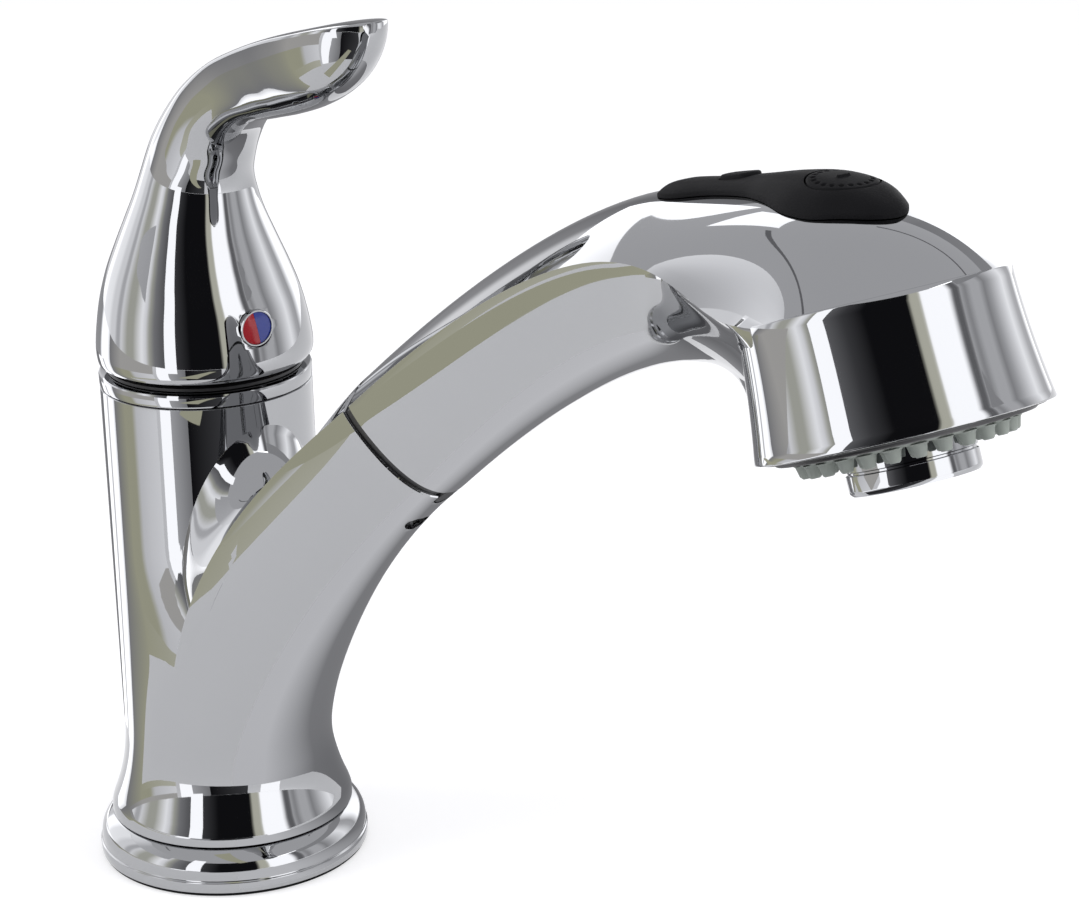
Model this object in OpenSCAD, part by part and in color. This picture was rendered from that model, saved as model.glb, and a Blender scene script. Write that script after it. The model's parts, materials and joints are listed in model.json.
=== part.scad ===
// Pull-out kitchen faucet: fixed base and valve, swivelling spout, lift-and-turn handle,
// pull-out spray wand with two buttons. Millimetres, deck plane at z = 0, spout along +X.

/* [Base] */
// Outer radius of the deck ring's lower band
deck_ring_r = 31.3; // [30.4:0.1:33]
// Height of the deck ring's top edge above the deck
deck_ring_top = 10.2; // [9.6:0.2:11]
// Gap between the deck ring and the spout's foot
foot_gap = 0.6; // [0.3:0.1:1]
// Thickness of the rubber gasket
gasket_t = 0.8; // [0.6:0.1:1.2]
// Outer radius of the rubber gasket
gasket_r = 30.8; // [29:0.1:31]
// Radius of the mounting base's flange
base_flange_r = 24; // [23.6:0.1:24.2]
// Height of the mounting base's hub
base_h = 30; // [28:1:34]
// Distance between the two mounting stud holes
stud_pitch = 31; // [30:0.5:32]
// Wall radius of a mounting stud hole (M6, tapped)
stud_hole_r = 2.5; // [2.1:0.1:2.6]
// Depth of a mounting stud hole
stud_hole_h = 16; // [12:1:20]
// Wall radius of an inlet or outlet bore (M10x1, tapped from below)
inlet_r = 4.5; // [4:0.1:4.6]
// Radius of the passage for the pull-out hose
hose_passage_r = 7.5; // [6.5:0.1:7.8]

/* [Column] */
// Outer radius of the column
column_r = 23.8; // [23.5:0.1:24.2]
// Radius of the column's bore
column_bore_r = 21; // [20.6:0.1:21.3]
// Height of the column's top edge
column_top = 113.6; // [112:0.2:116]
// How far the column's foot flares out
foot_flare = 4.2; // [3:0.1:4.6]
// Height of the flare
foot_flare_h = 21; // [18:1:32]

/* [Arm] */
// Rise of the arm at the docking seam, in degrees
arm_pitch = 36; // [34:1:38]
// Distance of the seam's lowest point from the column's axis
seam_x = 93.7; // [90:0.5:100]
// Height of the seam's lowest point
seam_z = 110.2; // [108:0.2:113]
// Half width of the arm at the seam's crease
seam_half_w = 15.4; // [14.5:0.1:16]
// Height of the crease above the seam's lowest point
seam_crease_h = 22.6; // [21.5:0.1:23.5]
// Rise of the crown above the crease at the seam
seam_crown_h = 7.5; // [5:0.5:9]
// Height on the column where the keel leaves it
keel_start_z = 24; // [20:1:30]
// Pull of the keel's lower control point
keel_pull_low = 15.4; // [10:0.2:20]
// Pull of the keel's upper control point
keel_pull_high = 36.5; // [34:0.5:50]
// Height where the arm's flanks split from the trunk
split_z = 50; // [46:1:54]
// Half angle of the trunk's front at the split
split_angle = 67; // [60:1:72]
// Height of the ridge where the saddle meets the column
ridge_top = 108.2; // [104:0.2:110]
// Height where the ridge's arch begins
ridge_low = 62; // [58:1:66]
// Half angle of the ridge's arch round the column
ridge_angle = 53; // [48:1:56]

/* [Dock] */
// Height of the dock's axis above the seam's lowest point
dock_h = 13.2; // [12.8:0.1:13.6]
// Outer radius of the docking bushing
dock_r = 10; // [9.8:0.1:10.4]
// Outer radius of the wand's docking nipple
nipple_r = 8.7; // [8.2:0.1:8.9]
// Length of the nipple inside the spout
nipple_l = 24; // [20:1:28]
// Length of the docking bushing
bushing_l = 30; // [28:1:34]
// Width of the black band between spout and wand
band_w = 2.8; // [2:0.2:3.4]
// Wall radius of the hose thread in the nipple (M15x1, tapped)
hose_thread_r = 7; // [6.6:0.1:7.1]
// Depth of the hose thread
hose_thread_h = 12; // [10:1:14]

/* [Valve] */
// Height of the valve body's underside
valve_low = 80; // [78:1:84]
// Radius of the valve body
valve_r = 20.2; // [19.8:0.1:20.3]
// Radius of the cartridge sleeve
cartridge_r = 10; // [9.6:0.1:10.4]
// Radius of the stem's rod
stem_r = 4; // [3.6:0.1:4.2]
// Outer radius of a supply tube
tube_r = 4; // [3.5:0.1:4.1]

/* [Handle] */
// Height of the dome's lower rim
dome_low = 119.4; // [119:0.1:120]
// Distance of the handle's hinge pin behind the column's axis
hinge_x = 18.5; // [18:0.1:18.7]
// Height of the handle's hinge pin
hinge_z = 121.5; // [121.3:0.1:121.8]
// Radius of the handle's hinge pin
hinge_r = 1.2; // [1:0.05:1.3]
// Height of the temperature button
dot_z = 130.5; // [129.5:0.1:131]
// Radius of the temperature button
dot_r = 4.1; // [3.6:0.1:4.4]

/* [Wand] */
// Half width of the wand at its neck's end
neck_half_w = 19.6; // [18:0.2:21]
// Height of the crease above the underside at the neck's end
neck_crease_h = 21.5; // [20:0.5:23]
// Rise of the crown above the crease at the neck's end
neck_crown_h = 9.8; // [8:0.2:11]
// Distance of the neck's end from the column's axis
neck_x = 178.9; // [175:0.5:183]
// Height of the underside at the neck's end
neck_z = 158.5; // [156:0.5:160]
// Rise of the wand's axis at the neck's end, in degrees
neck_pitch = 8.9; // [6:0.1:12]
// Radius of the spray head at its rim
rim_r = 25.75; // [25.4:0.1:27]
// Radius of the spray head's skirt at its upper edge
skirt_top_r = 23.5; // [23.2:0.1:24.2]
// Height of the skirt
skirt_h = 23; // [22:0.5:24]
// Distance of the rim's centre from the column's axis
rim_x = 229.5; // [226:0.2:232]
// Height of the rim's centre above the deck
rim_z = 157.9; // [156:0.2:160]
// Tilt of the spray face's axis from vertical, in degrees
head_tilt = 20.46; // [18:0.5:23]
// Radius of the aerator's housing
aerator_r = 11.4; // [10.8:0.1:11.8]
// How far the aerator stands past the rim
aerator_out = 8.7; // [6:0.1:9]
// Radius of the front button
front_button_r = 6.2; // [5.6:0.1:6.4]
// Travel of a button
button_travel = 1.5; // [1:0.1:1.6]

/* [Fits] */
// Running clearance of round parts that turn or slide
run_fit = 0.06; // [0.03:0.01:0.09]
// Seat clearance between fixed parts
seat_fit = 0.05; // [0.02:0.01:0.08]
// Gap between neighbouring faces that pass each other
pass_gap = 0.3; // [0.25:0.05:0.4]

/* [Hidden] */
$fn = 72;

CHROME = [0.82, 0.83, 0.85];
BRASS = [0.78, 0.63, 0.33];
BLACK = [0.09, 0.09, 0.1];
POM = [0.9, 0.9, 0.86];
FACE_GREY = [0.72, 0.77, 0.74];
AX = [cos(arm_pitch), 0, sin(arm_pitch)];
UP = [-sin(arm_pitch), 0, cos(arm_pitch)];
Y = [0, 1, 0];
HEAD_X = [cos(head_tilt), 0, sin(head_tilt)];
HEAD_D = [sin(head_tilt), 0, -cos(head_tilt)];
seam_base = [seam_x, 0, seam_z];
wand_base = seam_base + band_w*AX;
eps = 0.02;

// Points and faces of grids of points

function flat(rows) = [for (r = rows) for (p = r) p];
function grid_faces(n, m, at) =
    [for (j = [0:n-2]) for (i = [0:m-2])
        let (a = at + j*m + i, b = a + 1, c = a + m, d = c + 1) each [[a, d, b], [a, c, d]]];
function start_of(grids, k) = k == 0 ? 0 : start_of(grids, k-1) + len(grids[k-1])*len(grids[k-1][0]);
function turned(rows) = [for (r = rows) [for (i = [len(r)-1:-1:0]) r[i]]];

// A closed solid from grids whose edges share their points
module skin(grids) {
    points = [for (g = grids) each flat(g)];
    faces = [for (k = [0:len(grids)-1]) each grid_faces(len(grids[k]), len(grids[k][0]), start_of(grids, k))];
    polyhedron(points = points, faces = [for (f = faces) if (points[f[0]] != points[f[1]]
        && points[f[1]] != points[f[2]] && points[f[0]] != points[f[2]]) f], convexity = 8);
}

function fan(ring, centre) = [ring, [for (p = ring) centre]];
function bezier(p, t) = pow(1-t, 3)*p[0] + 3*t*pow(1-t, 2)*p[1] + 3*t*t*(1-t)*p[2] + pow(t, 3)*p[3];
function bezier_slope(p, t) =
    3*pow(1-t, 2)*(p[1]-p[0]) + 6*t*(1-t)*(p[2]-p[1]) + 3*t*t*(p[3]-p[2]);
function hermite(p0, d0, p1, d1, v) =
    (2*v*v*v - 3*v*v + 1)*p0 + (v*v*v - 2*v*v + v)*d0 + (-2*v*v*v + 3*v*v)*p1 + (v*v*v - v*v)*d1;
function mix(a, b, t) = a*(1-t) + b*t;
function smooth(t) = t <= 0 ? 0 : t >= 1 ? 1 : t*t*(3 - 2*t);
function steps(n) = [for (i = [0:n]) i/n];
function spread(n) = [for (i = [0:n]) -1 + 2*i/n];

// A value between list entries, rounded off as a Catmull-Rom curve
function curve_at(list, t) =
    let (last = len(list) - 1, i = min(floor(t), last - 1), v = t - i,
         b = list[i], c = list[i+1], a = list[max(i-1, 0)], d = list[min(i+2, last)])
    hermite(b, (c - a)/2, c, (d - b)/2, v);

// Spout skin: trunk, column, arm flanks and saddle

SEAM_BLEND = 0.6;
SEAM_SPREAD = 1.3;
FLANK_PULL = 1.82;
FRONT_N = 20;
BACK_N = 26;
ARM_N = 15;
body_low = deck_ring_top + foot_gap;
egg_top = 80;
tip_share = 0.88;
keel = [[column_r, 0, keel_start_z], [column_r, 0, keel_start_z + keel_pull_low],
        seam_base - keel_pull_high*AX, seam_base];

function keel_t(z, lo = 0, hi = 1, n = 40) =
    let (m = (lo + hi)/2) n == 0 ? m : bezier(keel, m)[2] < z ? keel_t(z, m, hi, n-1) : keel_t(z, lo, m, n-1);
split_t = keel_t(split_z);
split_x = bezier(keel, split_t)[0];
split_slope = bezier_slope(keel, split_t);
keel_lean = split_slope[0]/split_slope[2];

function flare(z) = foot_flare*pow(1 - min(1, max(0, (z - body_low - 2)/foot_flare_h)), 2.3);
function trunk_x(z) = z <= keel_start_z ? column_r : z >= split_z ? split_x : bezier(keel, keel_t(z))[0];
function trunk_point(a, z) =
    let (r = column_r + flare(z)) [(abs(a) < 90 ? trunk_x(z) + flare(z) : r)*cos(a), r*sin(a), z];
// Above the split the egg-shaped front eases back to the round column
function upper_x(z) = z >= egg_top ? column_r
    : hermite(split_x, keel_lean*(egg_top - split_z), column_r, 0, (z - split_z)/(egg_top - split_z));
function upper_point(a, z) =
    [(abs(a) < 90 ? (z <= split_z ? split_x : upper_x(z)) : column_r)*cos(a), column_r*sin(a), z];
function back_angle(i) = i == 0 ? split_angle : i == BACK_N ? -split_angle
    : let (a = split_angle + (360 - 2*split_angle)*i/BACK_N) a > 180 ? a - 360 : a;
function ridge_tail(s) = max(0, (abs(s) - tip_share)/(1 - tip_share));
function ridge_a(s) = sign(s)*(abs(s) <= tip_share ? ridge_angle*sin(90*abs(s)/tip_share)
    : mix(ridge_angle, split_angle, pow(ridge_tail(s), 2)));
function ridge_z(s) = abs(s) <= tip_share ? ridge_low + (ridge_top - ridge_low)*cos(90*abs(s)/tip_share)
    : mix(ridge_low, split_z, ridge_tail(s));
function half_profile(u, blend) = blend*sqrt(u) + (1 - blend)*sqrt(max(0, 1 - (1-u)*(1-u)));
// The closed section of arm and wand: rounded keel below the crease, crown above it
function low_point(base, up, crease, half_w, s, blend) =
    let (u = pow(abs(s), SEAM_SPREAD))
    base + u*crease*up + sign(s)*half_w*half_profile(u, blend)*Y;
function crown_point(base, up, crease, half_w, rise, s) =
    base + (crease + rise*(1 - s*s))*up + half_w*s*Y;
function seam_low(base, s) = low_point(base, UP, seam_crease_h, seam_half_w, s, SEAM_BLEND);
function seam_crown(base, s) = crown_point(base, UP, seam_crease_h, seam_half_w, seam_crown_h, s);

function flank_start(s) = (1 - split_t)*(1 + (FLANK_PULL - 1)*s*s)
    *[split_slope[0]*cos(split_angle*s), 0, split_slope[2]];
flank_end = (1 - split_t)*3*keel_pull_high*AX;
function flank_point(s, v) =
    hermite(trunk_point(split_angle*s, split_z), flank_start(s), seam_low(seam_base, s), flank_end, v);
saddle_dip = 100;
function saddle_start(s) =
    let (a = ridge_a(s), w = pow(abs(s), 3))
    mix(saddle_dip*[0.32*cos(a), 0.32*sin(a), -0.95], flank_start(s), w);
function saddle_point(s, v) = abs(s) == 1 ? flank_point(s, v)
    : hermite(upper_point(ridge_a(s), ridge_z(s)), saddle_start(s), seam_crown(seam_base, s),
              mix(60*AX, flank_end, s*s), v);

function spout_grids() =
    let (trunk_z = [for (t = [0, 0.05, 0.1, 0.16, 0.24, 0.32, 0.4, 0.48, 0.57, 0.67, 0.78, 0.89, 1])
                    mix(body_low, split_z, t)],
         up_t = [for (t = steps(9)) pow(t, 1.2)],
         trunk_front = [for (z = trunk_z) [for (s = spread(FRONT_N)) trunk_point(split_angle*s, z)]],
         trunk_back = [for (z = trunk_z) [for (i = [0:BACK_N]) trunk_point(back_angle(i), z)]],
         column_front = [for (t = up_t) [for (s = spread(FRONT_N))
                         upper_point(ridge_a(s), mix(ridge_z(s), column_top, t))]],
         column_back = [for (t = up_t) [for (i = [0:BACK_N])
                        upper_point(back_angle(i), mix(split_z, column_top, t))]],
         flank = [for (v = steps(ARM_N)) [for (s = spread(FRONT_N)) flank_point(s, v)]],
         saddle = [for (v = steps(ARM_N)) [for (s = spread(FRONT_N)) saddle_point(s, v)]],
         foot = concat(trunk_front[0], trunk_back[0]),
         head = concat(column_front[9], column_back[9]),
         mouth = concat(flank[ARM_N], [for (i = [FRONT_N:-1:0]) saddle[ARM_N][i]]))
    [trunk_front, trunk_back, column_front, column_back, flank, turned(saddle),
     turned(fan(foot, [0, 0, body_low])), fan(head, [0, 0, column_top]),
     fan(mouth, seam_base + dock_h*UP)];

// Wand skin: neck from the seam to the head, then round onto the skirt

NECK_N = 12;
HEAD_N = 12;
NECK_BLEND = 0.96;
NECK_START = 20.3;
NECK_END = 94.5;
HEAD_START = 64.6;
REAR_PULL = 27.3;
SIDE_PULL = 57.7;
TOP_PULL = 40.8;
TOP_DROP = 59.7;
edge_angle = 92;
rear_share = 0.29;
inset = 0.25;
rim_centre = [rim_x, 0, rim_z];
neck_base = [neck_x, 0, neck_z];
neck_ax = [cos(neck_pitch), 0, sin(neck_pitch)];
neck_up = [-sin(neck_pitch), 0, cos(neck_pitch)];

function skirt_r(h) = mix(skirt_top_r, rim_r, pow(h/skirt_h, 1.7));
function skirt_point(a, h) =
    let (r = skirt_r(h) - inset)
    rim_centre + (h - skirt_h)*HEAD_D + r*cos(a)*HEAD_X + r*sin(a)*Y;
function rear_angle(s) = abs(s) < rear_share
    ? 180 - (180 - edge_angle)*sin(90*abs(s)/rear_share) : edge_angle;
function rear_h(s) = abs(s) < rear_share ? skirt_h - inset
    : mix(skirt_h - inset, inset, (abs(s) - rear_share)/(1 - rear_share));
function rear_point(s) = skirt_point((s < 0 ? -1 : 1)*rear_angle(s), rear_h(s));
function front_point(s) = skirt_point(s*edge_angle, inset);
function side_way(s) = sin(rear_angle(s))*HEAD_X - (s < 0 ? -1 : 1)*cos(rear_angle(s))*Y;
function rear_end(s) = let (w = pow(abs(s), 3.9)) mix(REAR_PULL*HEAD_D, SIDE_PULL*side_way(s), w);
function top_end(s) =
    let (w = pow(s, 4), a = s*edge_angle)
    mix(TOP_PULL*(cos(a)*HEAD_X + sin(a)*Y) + TOP_DROP*HEAD_D, rear_end(s), w);
function neck_low(s) = low_point(neck_base, neck_up, neck_crease_h, neck_half_w, s, NECK_BLEND);
function neck_crown(s) = crown_point(neck_base, neck_up, neck_crease_h, neck_half_w, neck_crown_h, s);
function neck_under(s, v) = hermite(seam_low(wand_base, s), NECK_START*AX, neck_low(s), NECK_END*neck_ax, v);
function neck_top(s, v) = abs(s) == 1 ? neck_under(s, v)
    : hermite(seam_crown(wand_base, s), NECK_START*AX, neck_crown(s), NECK_END*neck_ax, v);
function head_under(s, v) = hermite(neck_low(s), HEAD_START*neck_ax, rear_point(s), rear_end(s), v);
function head_top(s, v) = abs(s) == 1 ? head_under(s, v)
    : hermite(neck_crown(s), HEAD_START*neck_ax, front_point(s), top_end(s), v);

function wand_grids() =
    let (under = [for (v = steps(NECK_N)) [for (s = spread(FRONT_N)) neck_under(s, v)]],
         top = [for (v = steps(NECK_N)) [for (s = spread(FRONT_N)) neck_top(s, v)]],
         rear = [for (v = steps(HEAD_N)) [for (s = spread(FRONT_N)) head_under(s, v)]],
         hood = [for (v = steps(HEAD_N)) [for (s = spread(FRONT_N)) head_top(s, v)]],
         mouth = concat(under[0], [for (i = [FRONT_N:-1:0]) top[0][i]]),
         end = concat(rear[HEAD_N], [for (i = [FRONT_N:-1:0]) hood[HEAD_N][i]]))
    [under, turned(top), rear, turned(hood),
     turned(fan(mouth, wand_base + dock_h*UP)), fan(end, rim_centre - 0.5*skirt_h*HEAD_D)];

// Handle skin: stations [back x, back z, front x, front z, half width, rim share]

LEVER_N = 36;
handle_stations = [
    [-23.7, dome_low, 23.7, dome_low, 23.7, 0.5],
    [-23.7, dome_low + 1.2, 24.5, dome_low + 1.2, 24.1, 0.5],
    [-23.9, 123, 24.6, 123, 24.2, 0.5],
    [-23.4, 128, 23.7, 128, 23.6, 0.5],
    [-22.4, 134, 22.1, 134, 22.4, 0.5],
    [-20.7, 140, 19.6, 140, 20.5, 0.5],
    [-18.2, 146, 17.1, 146, 18.1, 0.5],
    [-15.5, 152, 15, 152, 15.6, 0.5],
    [-13.1, 157, 14.2, 157, 13.8, 0.5],
    [-10.9, 161.8, 14.1, 161.4, 12.6, 0.5],
    [-7.8, 167, 16, 165.6, 12.1, 0.52],
    [-3.4, 172.4, 18.3, 169.6, 12, 0.55],
    [3.8, 179, 22.4, 173.9, 11.8, 0.62],
    [13.4, 185.8, 28.7, 177.2, 11.5, 0.75],
    [25, 191.6, 36.7, 179.4, 11.1, 0.88],
    [37, 196, 45.5, 181.7, 11, 0.93],
    [48.1, 199.5, 53.8, 184.4, 11, 0.94],
    [57, 201.8, 61, 187.6, 10.6, 0.94],
    [64, 203.5, 66.8, 191.3, 9.4, 0.93],
    [69.1, 204.4, 71, 195.6, 7, 0.92],
    [72.1, 204.7, 73.2, 199.5, 4.2, 0.9],
    [73.5, 204.6, 73.9, 202.1, 1.6, 0.85]];
function ring_share(k, a) =
    sin(a) >= 0 ? k + (1 - k)*sin(a) : k*(1 - pow(abs(sin(a)), mix(1, 1.25, min(1, 2.3*(k - 0.5)))));
function handle_ring(t) =
    let (q = curve_at(handle_stations, t), back = [q[0], 0, q[1]], front = [q[2], 0, q[3]])
    [for (i = [0:LEVER_N]) let (a = i == LEVER_N ? 0 : 360*i/LEVER_N)
        mix(front, back, ring_share(q[5], a)) + q[4]*cos(a)*Y];
function handle_grids() =
    let (rings = [for (t = [0:1:len(handle_stations)-1]) handle_ring(t)], last = len(rings) - 1,
         tip = handle_stations[last])
    [rings, turned(fan(rings[0], [0, 0, dome_low])),
     fan(rings[last], [(tip[0] + tip[2])/2, 0, (tip[1] + tip[3])/2])];

// Placement helpers

// Seam frame: z runs out along the arm, x points down towards the keel
module on_seam(base) translate(base) rotate([0, 90 - arm_pitch, 0]) children();
// Dock frame: the same, on the dock's own axis
module on_dock() on_seam(wand_base - dock_h*[sin(arm_pitch), 0, -cos(arm_pitch)]) children();
// Head frame: z runs up into the head from the rim
module on_head() translate(rim_centre) rotate([0, -head_tilt, 0]) children();
module ring(outer, inner, h) difference() {
    cylinder(r = outer, h = h);
    translate([0, 0, -1]) cylinder(r = inner, h = h + 2);
}
module o_ring(r, wire) rotate_extrude() translate([r, 0]) circle(r = wire, $fn = 24);
// A straight bar between two points of the XZ plane
module bar(p, q, r) translate([p[0], 0, p[1]])
    rotate([0, atan2(q[0] - p[0], q[1] - p[1]), 0]) cylinder(r = r, h = norm(q - p));

// Base

inlet_x = -7.5;
inlet_y = 9.5;
outlet_x = -13.5;
hose_x = 9;
glide_h = 6;
band_top = 3.4;
glide_t = 0.7;
glide_r = column_bore_r - run_fit;
base_flange_h = 9.5;
low_glide_z = base_flange_h + 3;
tube_foot_r = inlet_r + 0.9;
hub_r = valve_r;
collar_top = column_top + 0.25;

module deck_gasket() color(BLACK) ring(gasket_r, hub_r + 1, gasket_t);

module deck_ring() color(CHROME)
    rotate_extrude($fn = 120)
        polygon([[base_flange_r + seat_fit, gasket_t], [deck_ring_r - 0.3, gasket_t],
                 [deck_ring_r, gasket_t + 0.3], [deck_ring_r, band_top],
                 for (t = steps(9)) [deck_ring_r - 0.35 - 2.9*pow(t, 2.8),
                                     band_top + 0.2 + t*(deck_ring_top - band_top - 0.5)],
                 [deck_ring_r - 3.6, deck_ring_top], [base_flange_r + seat_fit, deck_ring_top]]);

module water_bore(x, y) translate([x, y, 0]) {
    translate([0, 0, -1]) cylinder(r = inlet_r, h = base_h + 2);
}

module mounting_base() color(BRASS) difference() {
    union() {
        cylinder(r = hub_r, h = base_h);
        translate([0, 0, gasket_t]) cylinder(r = base_flange_r, h = base_flange_h - gasket_t);
    }
    water_bore(inlet_x, -inlet_y);
    water_bore(inlet_x, inlet_y);
    water_bore(outlet_x, 0);
    translate([hose_x, 0, -1]) cylinder(r = hose_passage_r, h = base_h + 2);
    for (y = [-1, 1]) translate([0, y*stud_pitch/2, -1]) cylinder(r = stud_hole_r, h = stud_hole_h + 1);
    translate([0, 0, low_glide_z]) ring(hub_r + 1, glide_r - glide_t - seat_fit, glide_h + 2*seat_fit);
}

module thrust_washer() color(POM)
    translate([0, 0, base_flange_h]) ring(base_flange_r - 0.1, column_bore_r + 0.1, body_low - base_flange_h - 0.1);

module glide_ring(z) translate([0, 0, z + seat_fit]) ring(glide_r, glide_r - glide_t, glide_h);
module lower_glide_ring() color(POM) glide_ring(low_glide_z);
module upper_glide_ring() color(POM) glide_ring(high_glide_z);

// A tube brazed to a foot that closes the ring round its bore in the hub's top
module water_tube(x, y) translate([x, y, base_h + seat_fit]) difference() {
    union() {
        cylinder(r = tube_r, h = valve_low + valve_socket_h - base_h - seat_fit);
        cylinder(r = tube_foot_r, h = 1.5);
    }
    translate([0, 0, -1]) cylinder(r = tube_r - 1, h = valve_low);
}
module hot_supply_tube() color([0.78, 0.48, 0.34]) water_tube(inlet_x, -inlet_y);
module cold_supply_tube() color([0.78, 0.48, 0.34]) water_tube(inlet_x, inlet_y);
module outlet_tube() color([0.78, 0.48, 0.34]) water_tube(outlet_x, 0);

// Valve

valve_socket_h = 6;
high_glide_z = collar_top - 11;
neck_r = 13.4;
neck_top_z = 117;
pocket_low = 88;
nut_r = 15;
nut_top = 122.4;
trim_top = dome_low - 2.3;
port_r = 2.2;

module valve_socket(x, y, port_x, port_y) {
    translate([x, y, valve_low - 1]) cylinder(r = tube_r + seat_fit, h = valve_socket_h + 1);
    translate([port_x, port_y, valve_low + valve_socket_h - 1])
        cylinder(r = port_r, h = pocket_low - valve_low - valve_socket_h + 2);
}

module valve_body() color(BRASS) difference() {
    union() {
        translate([0, 0, valve_low]) cylinder(r = valve_r, h = collar_top - valve_low);
        cylinder_between(neck_r, collar_top - 1, neck_top_z);
    }
    cylinder_between(cartridge_r + seat_fit, pocket_low, neck_top_z + 1);
    valve_socket(inlet_x, -inlet_y, -5.5, -6.5);
    valve_socket(inlet_x, inlet_y, -5.5, 6.5);
    valve_socket(outlet_x, 0, -7.7, 0);
    translate([0, 0, high_glide_z]) ring(valve_r + 1, glide_r - glide_t - seat_fit, glide_h + 2*seat_fit);
}
module cylinder_between(r, low, high) translate([0, 0, low]) cylinder(r = r, h = high - low);

piston_r = 7;
piston_low = 92;
piston_h = 10;
sleeve_bush = 110;
module cartridge_sleeve() color([0.2, 0.2, 0.22]) difference() {
    cylinder_between(cartridge_r, pocket_low, neck_top_z - 0.1);
    cylinder_between(piston_r + run_fit, pocket_low + 1.5, sleeve_bush);
    cylinder_between(stem_r + run_fit, sleeve_bush - 1, neck_top_z + 1);
    for (a = [130.2, 229.8, 180]) rotate(a) translate([a == 180 ? 7.7 : 8.4, 0, pocket_low - 1])
        cylinder(r = port_r - 0.4, h = 4);
}

module bonnet_nut() color(BRASS) difference() {
    union() {
        cylinder_between(nut_r, collar_top + 0.05, nut_top);
        translate([0, 0, nut_top - 1.4]) cylinder(r = nut_r + 0.8, h = 1.4, $fn = 72);
    }
    cylinder_between(neck_r + seat_fit, collar_top - 1, neck_top_z);
    cylinder_between(stem_r + 2, neck_top_z - 1, nut_top + 1);
}

module trim_ring() color(CHROME)
    rotate_extrude($fn = 120)
        polygon([[nut_r + 0.3, collar_top], [column_r - 0.4, collar_top], [column_r, collar_top + 0.4],
                 [column_r + 0.1, trim_top - 0.5], [column_r - 0.3, trim_top], [nut_r + 0.3, trim_top]]);

// Spout

notch_r = 1.9;
notch_depth = 3.5;
tunnel_r = 8.5;
dock_screw_back = 14;
dock_screw_r = 1.5;

module spout_body() color(CHROME) difference() {
    skin(spout_grids());
    cylinder_between(column_bore_r, 0, column_top + 1);
    on_dock() {
        translate([0, 0, -band_w - bushing_l]) cylinder(r = dock_r + seat_fit, h = bushing_l + 5);
        translate([0, 0, -110]) cylinder(r = tunnel_r, h = 110);
        translate([0, 0, -band_w - dock_screw_back]) rotate([0, 90, 0]) {
            cylinder(r = dock_screw_r + 0.15, h = 30);
            translate([0, 0, dock_r + 1.3]) cylinder(r = 2.7, h = 20);
        }
    }
    on_seam(seam_base) translate([-1.5, 0, -notch_depth + notch_r]) {
        rotate([0, 90, 0]) cylinder(r = notch_r, h = 8);
        translate([0, -notch_r, 0]) cube([8, 2*notch_r, 10]);
    }
}

module dock_bushing() color(BLACK) on_dock() difference() {
    translate([0, 0, -band_w - bushing_l]) cylinder(r = dock_r, h = bushing_l - 0.2);
    translate([0, 0, -band_w - bushing_l - 1]) cylinder(r = nipple_r + run_fit, h = bushing_l + 2);
    translate([0, 0, -band_w - dock_screw_back]) rotate([0, 90, 0]) cylinder(r = dock_screw_r, h = 30);
}

module dock_screw() color([0.35, 0.35, 0.37]) on_dock()
    translate([0, 0, -band_w - dock_screw_back]) rotate([0, 90, 0]) difference() {
        union() {
            translate([0, 0, nipple_r + 0.35]) cylinder(r = dock_screw_r - 0.02, h = dock_r + 1.1 - nipple_r);
            translate([0, 0, dock_r + 1.32]) cylinder(r = 2.5, h = 1.2);
        }
        translate([0, 0, dock_r + 1.9]) cylinder(r = 1, h = 3, $fn = 6);
    }

// Handle mechanism

ear_r = 2.2;
ear_in = 3;
ear_out = 5.5;
pivot_low = trim_top + 0.25;
pivot_flat = 118;
pin_z = hinge_z + 6;
pin_r = 1.5;
module rear_tab(y0, y1, low, high) translate([-hinge_x - ear_r, y0, low]) cube([2*ear_r, y1 - y0, high - low]);
module rear_barrel(y0, y1, r) translate([-hinge_x, y0, hinge_z]) rotate([-90, 0, 0]) cylinder(r = r, h = y1 - y0);

module pivot_ring() color(BLACK) difference() {
    union() {
        cylinder_between(22, pivot_low, pivot_flat);
        cylinder_between(17.4, pivot_low, nut_top - 1.7);
        for (y = [[-ear_out, -ear_in], [ear_in, ear_out]]) {
            translate([-hinge_x - 0.9, y[0], pivot_low]) cube([ear_r + 0.9, y[1] - y[0], hinge_z - pivot_low]);
            rear_barrel(y[0], y[1], ear_r);
        }
    }
    cylinder_between(nut_r + run_fit, pivot_low - 1, nut_top + 1);
    translate([-22, -ear_in, pivot_flat]) cube([7.2, 2*ear_in, 5]);
    rear_barrel(-7, 7, hinge_r + 0.01);
}

module hinge_pin() color([0.75, 0.75, 0.76]) rear_barrel(-ear_out, ear_out, hinge_r);

stem_top = 130.2;
module cartridge_stem() color([0.75, 0.75, 0.76]) difference() {
    union() {
        cylinder_between(piston_r, piston_low, piston_low + piston_h);
        cylinder_between(stem_r, piston_low, stem_top);
    }
    for (z = seal_levels) translate([0, 0, z - 0.9]) ring(piston_r + 1, seal_r - 0.75, 1.8);
    translate([0, 0, pin_z]) rotate([90, 0, 0]) cylinder(r = pin_r, h = 20, center = true);
}
seal_levels = [piston_low + 2.5, piston_low + piston_h - 2.5];
seal_r = piston_r - 0.72;
module stem_seals() color(BLACK) for (z = seal_levels) translate([0, 0, z]) o_ring(seal_r, 0.72);
module stem_cross_pin() color([0.75, 0.75, 0.76])
    translate([0, 0, pin_z]) rotate([90, 0, 0]) cylinder(r = pin_r - 0.01, h = 15.2, center = true);

// Handle

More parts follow.
